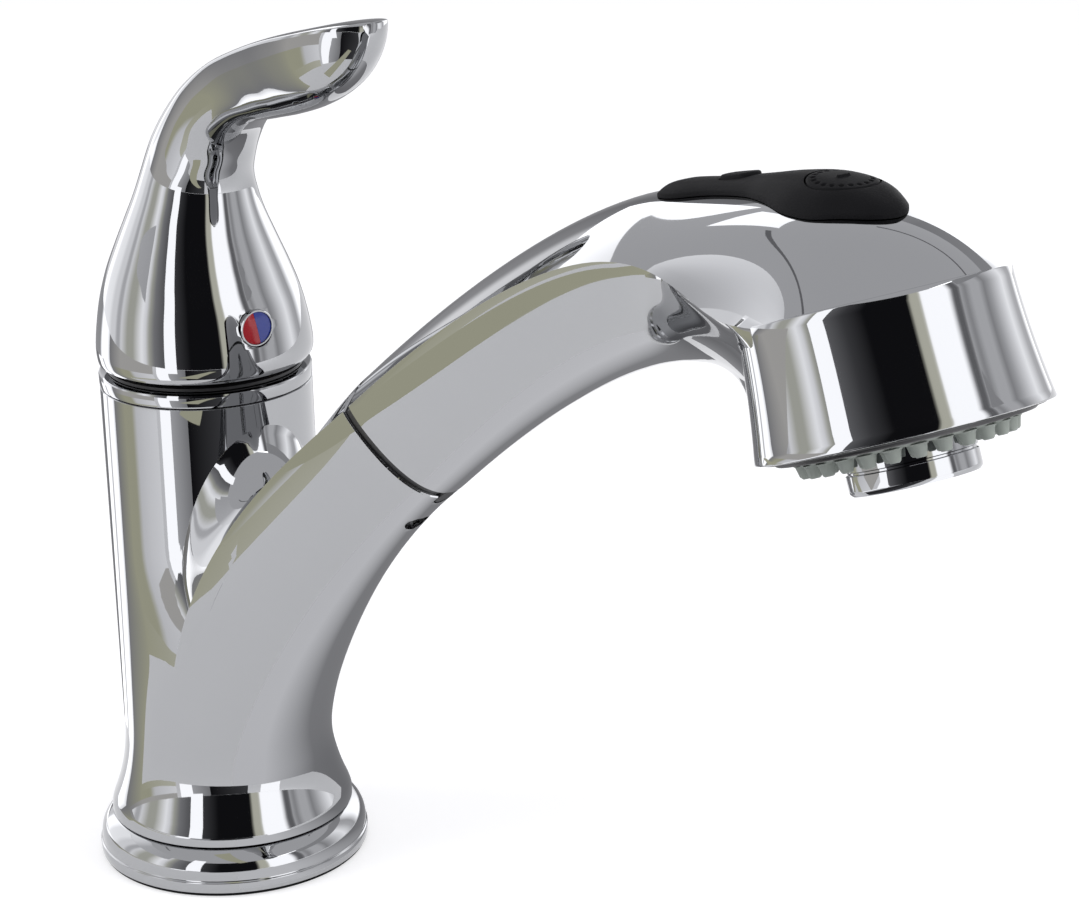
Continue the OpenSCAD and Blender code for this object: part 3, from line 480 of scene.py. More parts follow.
def bare_tree(owner: ID) -> NodeTree:
    """Returns the node tree of a material or world with nothing in it."""
    owner.use_nodes = True
    owner.node_tree.nodes.clear()
    return owner.node_tree


@dataclass(frozen=True)
class Finish:
    """A surface of one real material, as it is made.

    The grain is the size in millimetres of its finest unevenness, and the clouds that of its
    slow change of tone. The slot is the record's name for it.
    """

    title: str = "Moulded black acetal"
    slot: str = "black_plastic"
    colour: str = "1C1C1F"
    shade: str = "17171A"
    metallic: float = 0.0
    rough: tuple[float, float] = (0.38, 0.5)
    grain: float = 0.6
    clouds: float = 12.0
    height: float = 0.01
    ior: float = 1.5
    gloss: float = 0.5
    coat: float = 0.0

    def relief(self, tree: NodeTree, place: NodeSocket) -> NodeSocket:
        """Returns the socket that gives the surface its fine relief, from 0 to 1."""
        noise = {"Scale": 1000 / self.grain, "Detail": 3.0}
        return add_node(tree, "NodeTexNoise", noise, {"Vector": place}).outputs["Fac"]

    def material(self) -> Material:
        """Returns the material, made once for each finish."""
        if self.title in bpy.data.materials:
            return bpy.data.materials[self.title]
        material = bpy.data.materials.new(self.title)
        tree = bare_tree(material)
        place = add_node(tree, "NodeTexCoord").outputs["Object"]
        clouds = add_node(tree, "NodeTexNoise", {"Scale": 1000 / self.clouds, "Detail": 4.0},
                          {"Vector": place}).outputs["Fac"]
        tone = add_node(tree, "NodeMix", {"data_type": "RGBA", "blend_type": "MIX", 6: linear(self.colour),
                                          7: linear(self.shade)}, {0: clouds})
        low, high = self.rough
        span = {"From Min": 0.3, "From Max": 0.7, "To Min": low, "To Max": high}
        rough = add_node(tree, "NodeMapRange", span, {"Value": clouds})
        bump = add_node(tree, "NodeBump", {"Strength": 1.0, "Distance": self.height * MM},
                        {"Height": self.relief(tree, place)})
        constants = {"Metallic": self.metallic}
        if not self.metallic:
            constants |= {"IOR": self.ior, "Specular IOR Level": self.gloss}
        if self.coat:
            constants |= {"Coat Weight": self.coat, "Coat Roughness": 0.04}
        shader = add_node(tree, "NodeBsdfPrincipled", constants, {
            "Base Color": tone.outputs[2], "Roughness": rough.outputs[0], "Normal": bump.outputs[0]})
        add_node(tree, "NodeOutputMaterial", {}, {"Surface": shader.outputs["BSDF"]})
        return material


@dataclass(frozen=True)
class TurnedMetal(Finish):
    """Metal from the lathe: fine rings across its length catch the light."""

    title: str = "Turned stainless steel"
    colour: str = "B4B5B8"
    shade: str = "A5A6AA"
    metallic: float = 1.0
    rough: tuple[float, float] = (0.18, 0.3)
    grain: float = 0.35
    clouds: float = 8.0
    height: float = 0.006

    def relief(self, tree: NodeTree, place: NodeSocket) -> NodeSocket:
        """Returns tool marks as rings a third of a millimetre apart."""
        rings = {"wave_type": "BANDS", "bands_direction": "Z", "Scale": 314 / self.grain / 6.2,
                 "Distortion": 0.6}
        return add_node(tree, "NodeTexWave", rings, {"Vector": place}).outputs["Fac"]


@dataclass(frozen=True)
class MouldedRubber(Finish):
    """Soft rubber from a blasted mould: dull, with a fine pebble that breaks its highlights."""

    title: str = "Moulded black rubber"
    slot: str = "black_rubber"
    colour: str = "0E0E10"
    shade: str = "19191B"
    rough: tuple[float, float] = (0.5, 0.62)
    grain: float = 0.35
    clouds: float = 14.0
    height: float = 0.03
    ior: float = 1.52
    gloss: float = 0.04

    def relief(self, tree: NodeTree, place: NodeSocket) -> NodeSocket:
        """Returns the pebble of a blasted mould."""
        cells = {"feature": "SMOOTH_F1", "Scale": 1000 / self.grain}
        return add_node(tree, "NodeTexVoronoi", cells, {"Vector": place}).outputs["Distance"]


# Bright plate on polished metal is a mirror with a trace of orange peel.
CHROME = Finish("Polished electroplated chrome", "chrome", "A9AAAC", "A6A7A9", metallic=1.0,
                rough=(0.015, 0.04), grain=5.0, clouds=30.0, height=0.0015)
STEEL = TurnedMetal()
BLACK_OXIDE = TurnedMetal("Black oxide steel", colour="1E1E20", shade="161618", rough=(0.35, 0.5))
BRASS = TurnedMetal("Machined brass", colour="D9B566", shade="C9A255", rough=(0.2, 0.34))
COPPER = TurnedMetal("Drawn copper tube", colour="DC9872", shade="C98560", rough=(0.22, 0.36), height=0.002)
RUBBER = MouldedRubber()
SILICONE = MouldedRubber("Moulded grey silicone", "grey_rubber", "A0A6A0", "949A94", rough=(0.42, 0.5),
                         grain=0.5, height=0.01, ior=1.43)
ACETAL = Finish()
WHITE_ACETAL = Finish("Moulded natural acetal", colour="EAE8DE", shade="E2E0D4", rough=(0.32, 0.42))
RED = Finish("Clear red acrylic", "red_plastic", "A01420", "8C101A", rough=(0.12, 0.18), height=0.0, coat=0.2)
BLUE = replace(RED, title="Clear blue acrylic", slot="blue_plastic", colour="24358A", shade="1C2C78")


# Fixed pieces


@dataclass
class BaseRing:
    """Chrome ring on the deck with the rubber gasket below it."""

    radius: float = 31.3
    top: float = 10.2
    bore: float = 24.05
    band_top: float = 3.4
    gasket_r: float = 30.8
    gasket_bore: float = 21.2
    gasket_t: float = 0.8

    def build(self) -> None:
        """Makes the ring, a low band under a rounded slope and a soft shoulder, and its gasket."""
        r, low, high, top, bore = self.radius, self.gasket_t, self.band_top, self.top, self.bore
        foot = [(bore, low), (r - 0.35, low), (r - 0.1, low + 0.1), (r, low + 0.35), (r, high - 0.2),
                (r - 0.06, high - 0.05), (r - 0.25, high + 0.1)]
        slope = [(r - 0.35 - 2.9 * t**2.8, high + 0.25 + t * (top - high - 0.55))
                 for t in (i / 16 for i in range(17))]
        shoulder = [(r - 3.5, top - 0.1), (r - 3.8, top), (bore + 0.4, top), (bore, top - 0.4)]
        turn_piece("base_ring", foot + slope + shoulder, CHROME, Body.BASE, "deck_ring")
        r, bore = self.gasket_r, self.gasket_bore
        turn_piece("base_gasket", [(bore, 0), (r - 0.2, 0), (r, 0.2), (r, 0.6), (r - 0.2, low), (bore, low)],
                   RUBBER, Body.BASE, "deck_gasket")


@dataclass
class TrimRing:
    """Chrome ring between the column and the handle's dark gap."""

    radius: float = 23.8
    bore: float = 15.3
    low: float = 113.85
    top: float = 117.1

    def build(self) -> None:
        """Makes the ring."""
        r, low, top = self.radius, self.low, self.top
        outside = [(r - 0.5, low), (r - 0.1, low + 0.2), (r + 0.02, low + 0.6), (r + 0.1, top - 0.6),
                   (r - 0.02, top - 0.2), (r - 0.4, top)]
        turn_piece("trim_ring_bright", [(self.bore, low), *outside, (self.bore, top)], CHROME, Body.BASE,
                   "trim_ring")


# Spout


@dataclass
class Spout:
    """Column, arm and saddle in one casting.

    The front of the column swells into an arm whose keel is one long curve up to the seam. The
    notch and the screw's hole are given by radius, draw backwards and place ahead of the keel.
    """

    column_r: float = 23.8
    bore: float = 21.0
    low: float = 10.8
    top: float = 113.6
    flare: float = 4.2
    flare_h: float = 21.0
    seam: Section = Section(Vector((93.7, 0, 110.2)), 36.0, 22.6, 15.4, 7.5, 0.6)
    keel_z: float = 24.0
    keel_pulls: tuple[float, float] = (15.4, 36.5)
    split_z: float = 50.0
    split_angle: float = 67.0
    ridge: tuple[float, float, float] = (108.2, 62.0, 53.0)
    egg_top: float = 80.0
    flank_pull: float = 1.82
    tip_share: float = 0.88
    saddle_dip: float = 100.0
    dock_h: float = 13.2
    dock_r: float = 10.05
    dock_depth: float = 31.0
    notch: tuple[float, float, float] = (1.9, 9.0, 1.6)
    screw_hole: tuple[float, float, float] = (2.7, 0.0, 14.0)

    def __post_init__(self) -> None:
        """Works out the keel's curve and where it passes the split."""
        base, ahead = self.seam.base, self.seam.ahead
        self.keel = [Vector((self.column_r, 0, self.keel_z)),
                     Vector((self.column_r, 0, self.keel_z + self.keel_pulls[0])),
                     base - self.keel_pulls[1] * ahead, base]
        self.split_t = self.keel_at(self.split_z)
        self.split_x = bezier(self.keel, self.split_t).x
        self.split_slope = bezier_slope(self.keel, self.split_t)

    def keel_at(self, z: float) -> float:
        """Returns the keel's parameter at a height."""
        low, high = 0.0, 1.0
        for _ in range(40):
            middle = (low + high) / 2
            if bezier(self.keel, middle).z < z:
                low = middle
            else:
                high = middle
        return (low + high) / 2

    def foot(self, z: float) -> float:
        """Returns how far the foot flares out at a height."""
        return self.flare * (1 - min(1.0, max(0.0, (z - self.low - 2) / self.flare_h))) ** 2.3

    def trunk(self, a: float, z: float) -> Vector:
        """Returns a point of the trunk below the split, at an angle from the front."""
        grow = self.foot(z)
        front = self.column_r if z <= self.keel_z else bezier(self.keel, self.keel_at(min(z, self.split_z))).x
        r = self.column_r + grow
        return Vector(((front + grow if abs(a) < 90 else r) * cosd(a), r * sind(a), z))

    def upper(self, a: float, z: float) -> Vector:
        """Returns a point of the column above the split."""
        x = self.column_r
        if abs(a) < 90 and z < self.egg_top:
            span = self.egg_top - self.split_z
            lean = self.split_slope.x / self.split_slope.z
            x = hermite(self.split_x, lean * span, self.column_r, 0.0, max(0.0, (z - self.split_z) / span))
        return Vector((x * cosd(a), self.column_r * sind(a), z))

    def tail(self, s: float) -> float:
        """Returns how far s is along the ridge's last stretch."""
        return max(0.0, (abs(s) - self.tip_share) / (1 - self.tip_share))

    def ridge_a(self, s: float) -> float:
        """Returns the ridge's angle round the column."""
        if abs(s) <= self.tip_share:
            return sign(s) * self.ridge[2] * sind(90 * abs(s) / self.tip_share)
        return sign(s) * mix(self.ridge[2], self.split_angle, self.tail(s) ** 2)

    def ridge_z(self, s: float) -> float:
        """Returns the ridge's height."""
        top, low, _ = self.ridge
        if abs(s) <= self.tip_share:
            return low + (top - low) * cosd(90 * abs(s) / self.tip_share)
        return mix(low, self.split_z, self.tail(s))

    def flank_start(self, s: float) -> Vector:
        """Returns the slope with which the arm's flank leaves the trunk."""
        k = (1 - self.split_t) * (1 + (self.flank_pull - 1) * s * s)
        return k * Vector((self.split_slope.x * cosd(self.split_angle * s), 0, self.split_slope.z))

    @property
    def flank_end(self) -> Vector:
        """Returns the slope with which the arm's flank meets the seam."""
        return (1 - self.split_t) * 3 * self.keel_pulls[1] * self.seam.ahead

    def flank_point(self, s: float, v: float) -> Vector:
        """Returns a point of the arm below its creases."""
        return hermite(self.trunk(self.split_angle * s, self.split_z), self.flank_start(s),
                       self.seam.low(s), self.flank_end, v)

    def saddle_point(self, s: float, v: float) -> Vector:
        """Returns a point of the arm's top and of the dished saddle behind it."""
        if abs(s) > 0.9999:
            return self.flank_point(s, v)
        a = self.ridge_a(s)
        dip = self.saddle_dip * Vector((0.32 * cosd(a), 0.32 * sind(a), -0.95))
        return hermite(self.upper(a, self.ridge_z(s)), mix(dip, self.flank_start(s), abs(s) ** 3),
                       self.seam.crown(s), mix(60 * self.seam.ahead, self.flank_end, s * s), v)

    def back_angle(self, s: float) -> float:
        """Returns the angle round the back of the column for s from -1 to 1."""
        a = 180 + (180 - self.split_angle) * s
        return a - 360 if a > 180 else a

    def skin(self, bm: BMesh) -> None:
        """Lays the six patches of the casting and welds them."""
        low, split, top = self.low, self.split_z, self.top
        lay_patch(bm, 56, 26, lambda s, t: self.trunk(self.split_angle * s, mix(low, split, t)))
        lay_patch(bm, 60, 26, lambda s, t: self.trunk(self.back_angle(s), mix(low, split, t)))
        lay_patch(bm, 56, 24, lambda s, t: self.upper(self.ridge_a(s), mix(self.ridge_z(s), top, t**1.2)))
        lay_patch(bm, 60, 24, lambda s, t: self.upper(self.back_angle(s), mix(split, top, t**1.2)))
        lay_patch(bm, 56, 44, self.flank_point)
        lay_patch(bm, 56, 44, self.saddle_point)
        weld(bm)

    def close(self, bm: BMesh) -> None:
        """Gives the casting its rims, the column's bore and the dock's bore."""
        foot_z, head_z = self.low - 0.2, self.top + 0.15
        foot = pull_loop(bm, loop_near(bm, self.low * Z),
                         lambda p: Vector((p.x, p.y, 0)) * 0.985 + foot_z * Z, onto_ring(self.bore, foot_z))
        head = pull_loop(bm, loop_near(bm, self.top * Z), onto_ring(self.column_r - 0.25, head_z),
                         onto_ring(self.bore, head_z))
        bmesh.ops.bridge_loops(bm, edges=foot + head)
        ahead = self.seam.ahead
        centre = self.seam.base + self.dock_h * self.seam.up
        mouth = pull_loop(bm, loop_near(bm, centre), lambda p: p + 0.25 * ahead + 0.02 * (centre - p),
                          lambda p: centre + 0.25 * ahead + (p - centre).normalized() * self.dock_r,
                          lambda p: p - self.dock_depth * ahead)
        bmesh.ops.holes_fill(bm, edges=mouth, sides=0)
        weld(bm)

    def build(self) -> None:
        """Makes the casting, with the notch in the mouth's lowest edge and the screw's hole."""
        bm = bmesh.new()
        self.skin(bm)
        self.close(bm)
        piece = finish_piece("spout_casting", bm, CHROME, Body.SPOUT, "spout_body", sharp=32, rounding=0.6)
        cutter = bmesh.new()
        for radius, draw, shift in (self.notch, self.screw_hole):
            place = frame_at(self.seam.base, -self.seam.up) @ Matrix.Translation((shift, 0, -1.5))
            add_peg(cutter, radius, draw, 8, place)
        bmesh.ops.recalc_face_normals(cutter, faces=cutter.faces)
        carve(piece, cutter)


# Wand


@dataclass
class Wand:
    """Pull-out wand: neck, spray head's hood and skirt.

    The neck is lofted from the seam's section to a wider one, and the hood rounds onto a skirt
    that leans forward.
    """

    start: Section
    neck: Section = Section(Vector((178.9, 0, 158.5)), 8.9, 21.5, 19.6, 9.8, 0.96)
    rim: tuple[float, float, float] = (229.5, 0, 157.9)
    tilt: float = 20.46
    rim_r: float = 25.75
    skirt_top: float = 23.5
    skirt_h: float = 23.0
    pulls: tuple[float, float, float] = (20.3, 94.5, 64.6)
    rear_pull: float = 27.3
    side_pull: float = 57.7
    top_pulls: tuple[float, float] = (40.8, 59.7)
    edge_angle: float = 92.0
    rear_share: float = 0.29
    inset: float = 0.25

    def __post_init__(self) -> None:
        """Works out the head's forward direction, that of its spray, and its frame, Z up into the head."""
        self.ahead = along(self.tilt)
        self.down = -across(self.tilt)
        self.head_frame = frame_at(Vector(self.rim), -self.down)

    def skirt_r(self, h: float) -> float:
        """Returns the skirt's radius at a depth below its upper edge."""
        return mix(self.skirt_top, self.rim_r, (h / self.skirt_h) ** 1.7)

    def skirt_point(self, a: float, h: float) -> Vector:
        """Returns a point just inside the skirt."""
        r = self.skirt_r(h) - self.inset
        return Vector(self.rim) + (h - self.skirt_h) * self.down + r * (cosd(a) * self.ahead + sind(a) * Y)

    def rear_angle(self, s: float) -> float:
        """Returns the angle round the skirt at which the neck's underside ends."""
        if abs(s) < self.rear_share:
            return 180 - (180 - self.edge_angle) * sind(90 * abs(s) / self.rear_share)
        return self.edge_angle

    def rear_point(self, s: float) -> Vector:
        """Returns where the neck's underside and flanks meet the skirt."""
        h = self.skirt_h - self.inset
        if abs(s) >= self.rear_share:
            h = mix(h, self.inset, (abs(s) - self.rear_share) / (1 - self.rear_share))
        return self.skirt_point((-1 if s < 0 else 1) * self.rear_angle(s), h)

    def rear_end(self, s: float) -> Vector:
        """Returns the slope with which the underside and flanks meet the skirt."""
        a = self.rear_angle(s)
        side = sind(a) * self.ahead - (-1 if s < 0 else 1) * cosd(a) * Y
        return mix(self.rear_pull * self.down, self.side_pull * side, abs(s) ** 3.9)

    def top_end(self, s: float) -> Vector:
        """Returns the slope with which the hood meets the skirt."""
        a = s * self.edge_angle
        out = cosd(a) * self.ahead + sind(a) * Y
        return mix(self.top_pulls[0] * out + self.top_pulls[1] * self.down, self.rear_end(s), s**4)

    def under(self, s: float, v: float) -> Vector:
        """Returns a point of the neck below its creases."""
        return hermite(self.start.low(s), self.pulls[0] * self.start.ahead,
                       self.neck.low(s), self.pulls[1] * self.neck.ahead, v)

    def top(self, s: float, v: float) -> Vector:
        """Returns a point of the neck's crown."""
        if abs(s) > 0.9999:
            return self.under(s, v)
        return hermite(self.start.crown(s), self.pulls[0] * self.start.ahead,
                       self.neck.crown(s), self.pulls[1] * self.neck.ahead, v)

    def cheek(self, s: float, v: float) -> Vector:
        """Returns a point of the head behind and beside the skirt."""
        return hermite(self.neck.low(s), self.pulls[2] * self.neck.ahead,
                       self.rear_point(s), self.rear_end(s), v)

    def hood(self, s: float, v: float) -> Vector:
        """Returns a point of the head's top."""
        if abs(s) > 0.9999:
            return self.cheek(s, v)
        return hermite(self.neck.crown(s), self.pulls[2] * self.neck.ahead,
                       self.skirt_point(s * self.edge_angle, self.inset), self.top_end(s), v)

    def build_shell(self) -> Object:
        """Returns the chromed shell."""
        bm = bmesh.new()
        for surface in (self.under, self.top, self.cheek, self.hood):
            lay_patch(bm, 56, 36, surface)
        weld(bm)
        cap_loops(bm)
        weld(bm)
        wall = [(self.skirt_r(self.skirt_h * k / 14), self.skirt_h * (1 - k / 14)) for k in range(14, -1, -1)]
        wall[0] = (self.rim_r - 0.02, 0.35)
        top_r, top = wall.pop()
        rim = [(22.65, 2.5), (24.3, 2.5), (24.3, 0.2), (24.45, 0.0), (self.rim_r - 0.4, 0.0),
               (self.rim_r - 0.1, 0.1)]
        upper = [(top_r + 0.02, top - 0.25), (top_r - 0.08, top - 0.05), (top_r - 0.35, top), (0, top)]
        lathe(bm, rim + wall + upper + [(0, 19.5), (22.65, 19.5)], 160, self.head_frame)
        return finish_piece("wand_shell_bright", bm, CHROME, Body.WAND, "wand_shell", sharp=30, rounding=0.6)

    def build_collar(self) -> None:
        """Makes the black band between spout and wand, with its key."""
        bm = bmesh.new()
        ahead = self.start.ahead
        face = bm.faces.new([bm.verts.new((p - 0.02 * ahead) * MM) for p in self.start.ring(40, 0.7)])
        made = bmesh.ops.extrude_face_region(bm, geom=[face])["geom"]
        bmesh.ops.translate(bm, verts=[g for g in made if isinstance(g, BMVert)], vec=-2.45 * ahead * MM)
        place = frame_at(self.start.base - 4.4 * ahead, -self.start.up)
        add_peg(bm, 1.6, 3.4, 1.0, place @ Matrix.Translation((0, 0, -1.2)))
        bmesh.ops.recalc_face_normals(bm, faces=bm.faces)
        finish_piece("docking_band", bm, ACETAL, Body.WAND, "docking_collar", rounding=0.15)


@dataclass
class SprayHead:
    """What shows below the wand's rim: black ring, soft face with nozzles, aerator.

    Each row of nozzles gives its radius, their number and the first one's angle. A nozzle gives
    its wide and narrow radius and its length.
    """

    wand: Wand
    face_r: float = 19.4
    face_low: float = -1.5
    ring_r: float = 24.25
    step_r: float = 22.2
    rows: tuple = ((14.1, 20, 0.0), (17.7, 26, 6.4))
    nozzle: tuple[float, float, float] = (1.35, 1.05, 2.0)
    aerator_r: float = 11.4
    aerator_out: float = 8.7
    cell: float = 1.45

    def build_ring(self) -> None:
        """Makes the black ring inside the rim."""
        r, inner, step = self.ring_r, self.face_r + 0.1, self.step_r
        profile = [(inner, 1.9), (inner, -0.7), (inner + 0.3, -1.0), (step - 0.2, -1.0), (step + 0.05, -0.85),
                   (step + 0.3, -0.3), (r - 0.15, -0.3), (r, -0.15), (r, 2.35), (22.75, 2.35), (22.75, 1.9)]
        turn_piece("rim_ring_black", profile, ACETAL, Body.WAND, "rim_ring", place=self.wand.head_frame)

    def build_face(self) -> None:
        """Makes the soft face with two rows of tapered nozzles."""
        bm = bmesh.new()
        frame, r, low, inner = self.wand.head_frame, self.face_r, self.face_low, self.aerator_r + 0.15
        lathe(bm, [(inner, 2.0), (inner, low + 0.5), (inner + 0.5, low), (15.9, low - 0.2), (r - 0.6, low),
                   (r, low + 0.5), (r, 2.0)], 144, frame)
        wide, narrow, length = self.nozzle
        profile = [(0, 0.3), (wide + 0.5, 0.3), (wide + 0.1, -0.1), (narrow, 0.25 - length),
                   (narrow - 0.25, -length), (0.45, -length), (0.4, 0.6 - length), (0, 0.6 - length)]
        for radius, count, start in self.rows:
            for i in range(count):
                a = start + 360 * i / count
                spot = Matrix.Translation((radius * cosd(a), radius * sind(a), low - 0.3))
                lathe(bm, profile, 14, frame @ spot, closed=False)
        finish_piece("spray_face_soft", bm, SILICONE, Body.WAND, "spray_face")

    def build_aerator(self) -> None:
        """Makes the chromed aerator and its screen of fine square cells."""
        frame, r, out = self.wand.head_frame, self.aerator_r, self.aerator_out
        profile = [(r - 1.4, -2.0), (r - 1.4, 0.5 - out), (r - 1.0, -out), (r - 0.5, -out),
                   (r - 0.05, 0.5 - out), (r, 1.0 - out), (r, -5.2), (r - 0.35, -5.0), (r - 0.35, -4.7),
                   (r, -4.5), (r, 2.0), (r - 3, 2.0), (r - 3, -2.0)]
        turn_piece("aerator_ring", profile, CHROME, Body.WAND, "aerator_housing", place=frame)
        bm = bmesh.new()
        lathe(bm, disc_profile(r - 1.45, 2.6 - out, 0.0, 0.2), 72, frame)
        for x in (i * self.cell for i in range(-6, 7)):
            bar = Matrix.Translation((x, 0, 2.2 - out)) @ Matrix.Diagonal(
                (0.35, 2 * math.sqrt((r - 1.6) ** 2 - x**2), 0.9, 1))
            for turn in (0, 90):
                made = bmesh.ops.create_cube(bm, size=1.0)["verts"]
                spin = Matrix.Rotation(math.radians(turn), 4, "Z")
                bmesh.ops.transform(bm, matrix=METRES @ frame @ spin @ bar, verts=made)
        finish_piece("aerator_mesh", bm, ACETAL, Body.WAND, "aerator_screen")

    def build(self) -> None:
        """Makes everything below the rim."""
        self.build_ring()
        self.build_face()
        self.build_aerator()


@dataclass
class ThumbPad:
    """Rubber leaf on the wand's top, with its two spray buttons.

    Each station gives a place along the hood, the half width as a share of the hood's, and the
    height above it: a long tail, a swell round the front button and a rounded front end. A
    button's lean is that of its face, in degrees.
    """

    wand: Wand
    lift: float = 0.12
    edge: float = 0.65
    stations: tuple = (
        (-0.052, 0.2, 0.7), (-0.045, 0.27, 1.1), (-0.03, 0.31, 1.45), (0.03, 0.32, 1.7), (0.15, 0.26, 1.9),
        (0.29, 0.28, 2.4), (0.4, 0.37, 3.1), (0.507, 0.48, 3.6), (0.587, 0.49, 3.5), (0.642, 0.44, 3.1),
        (0.69, 0.31, 2.5), (0.725, 0.2, 1.9), (0.745, 0.1, 1.4), (0.753, 0.01, 1.0))
    front_at: tuple[float, float, float] = (213.8, 0, 196.8)
    front_lean: float = 7.0
    front_r: float = 6.2
    rear_at: tuple[float, float, float] = (187.6, 0, 194.1)
    rear_lean: float = -13.0
    rear_r: float = 2.4
    stretch: float = 1.9
    gap: float = 0.28

    def __post_init__(self) -> None:
        """Works out the buttons' frames, each with its Z outwards."""
        self.front_frame, self.rear_frame = (
            frame_at(Vector(at), Vector((sind(lean), 0, cosd(lean))))
            for at, lean in ((self.front_at, self.front_lean), (self.rear_at, self.rear_lean)))

    def base(self, c: float, t: float) -> Vector:
        """Returns a point of the leaf's underside."""
        place, width, _ = through(self.stations, t)
        if place < 0:
            back = 1 + place * self.wand.pulls[2] / self.wand.pulls[1]
            return self.wand.top(width * c, back) + self.lift * Z
        return self.wand.hood(width * c, place) + self.lift * Z

    def top(self, c: float, t: float) -> Vector:
        """Returns a point of the leaf's top, nearly flat across and rounded to its edges."""
        point = self.base(c, t)
        crest = self.base(0.0, t).z + through(self.stations, t)[2]
        edge = self.base(1.0, t).z + self.edge
        return Vector((point.x, point.y, mix(crest, edge, abs(c) ** 3)))

    def leaf_mesh(self) -> BMesh:
        """Returns the closed leaf without its wells."""
        bm = bmesh.new()
        lay_patch(bm, 40, 110, self.top)
        lay_patch(bm, 40, 110, self.base)
        loops = open_loops(bm)
        bmesh.ops.bridge_loops(bm, edges=loops[0] + loops[1])
        weld(bm, 0.01)
        return bm

    def oval(self, bm: BMesh, profile: Profile) -> None:
        """Turns a profile at the rear button and draws it out lengthways to an oval."""
        verts = lathe(bm, profile, 64, closed=False)
        for vert in verts:
            if abs(vert.co.x) > 1e-7:
                shift = self.stretch * MM * min(1.0, abs(vert.co.x) / (0.6 * MM))
                vert.co.x += math.copysign(shift, vert.co.x)
        bmesh.ops.transform(bm, matrix=METRES @ self.rear_frame @ METRES.inverted(), verts=verts)

    def well(self, depth: float) -> BMesh:
        """Returns the cutter of both buttons' wells, down to a depth below their frames."""
        bm = bmesh.new()
        front, rear = self.front_r + self.gap, self.rear_r + self.gap
        lathe(bm, [(0, -depth), (front, -depth), (front, 6), (0, 6)], 96, self.front_frame, closed=False)
        self.oval(bm, [(0, -depth - 1), (rear, -depth - 1), (rear, 6), (0, 6)])
        return bm

    def mark(self, x: float, y: float) -> float:
        """Returns the depth of the button's marks at a place: twenty dots and a raised dash."""
        r = math.hypot(x, y)
        a = math.degrees(math.atan2(y, x)) % 18 - 9
        dot = math.hypot(r - 4.95, r * math.radians(a))
        dash = math.hypot(max(0.0, abs(y) - 0.95), x)
        rim = smooth((r - self.front_r + 0.35) / 0.35)
        dots = -0.4 * (1 - smooth((dot - 0.3) / 0.2))
        return dots + 0.35 * (1 - smooth((dash - 0.32) / 0.2)) - 0.25 * rim**2

    def build_front(self) -> None:
        """Makes the round button, whose top is the leaf's own surface with dots and a dash."""
        leaf = self.leaf_mesh()
        tree = BVHTree.FromBMesh(leaf)
        leaf.free()
        bm = bmesh.new()
        at, frame = Vector(self.front_at), self.front_frame
        up = (frame.to_3x3() @ Z).normalized()
        for vert in lathe(bm, [(self.front_r * k / 44, 0.0) for k in range(45)], 220, closed=False):
            x, y = vert.co.x / MM, vert.co.y / MM
            hit = tree.ray_cast(frame @ Vector((x, y, 8)) * MM, -up)[0]
            vert.co = hit + self.mark(x, y) * MM * up
        wall = pull_loop(bm, loop_near(bm, at), lambda p: p - (p - at).dot(up) * up - 2.2 * up)
        bmesh.ops.holes_fill(bm, edges=wall, sides=0)
        lathe(bm, disc_profile(1.9, -12, -2.0), 32, frame)
        bmesh.ops.recalc_face_normals(bm, faces=bm.faces)
        finish_piece("front_button_soft", bm, RUBBER, Body.FRONT_BUTTON, "front_button", sharp=60)

    def build_rear(self) -> None:
        """Makes the oval rear button, a low ramp above the leaf."""
        bm = bmesh.new()
        r = self.rear_r
        self.oval(bm, [(0, -4.3), (r - 0.1, -4.3), (r, -4.2), (r, 0.05), (r - 0.1, 0.3), (r - 0.35, 0.46),
                       (r - 0.8, 0.52), (0, 0.55)])
        lathe(bm, disc_profile(1.3, -9.8, -4.2, 0.2), 24, self.rear_frame)
        finish_piece("rear_button_soft", bm, RUBBER, Body.REAR_BUTTON, "rear_button")

    def build(self, shell: Object) -> None:
        """Makes the leaf and both buttons, and sinks the buttons' wells.

        Args:
            shell: the wand's shell, which gets the wells too.
        """
        leaf = finish_piece("thumb_pad_soft", self.leaf_mesh(), RUBBER, Body.WAND, "thumb_pad", sharp=50,
                            rounding=0.25)
        carve(leaf, self.well(6.0))
        carve(shell, self.well(6.9))
        self.build_front()
        self.build_rear()


# Handle


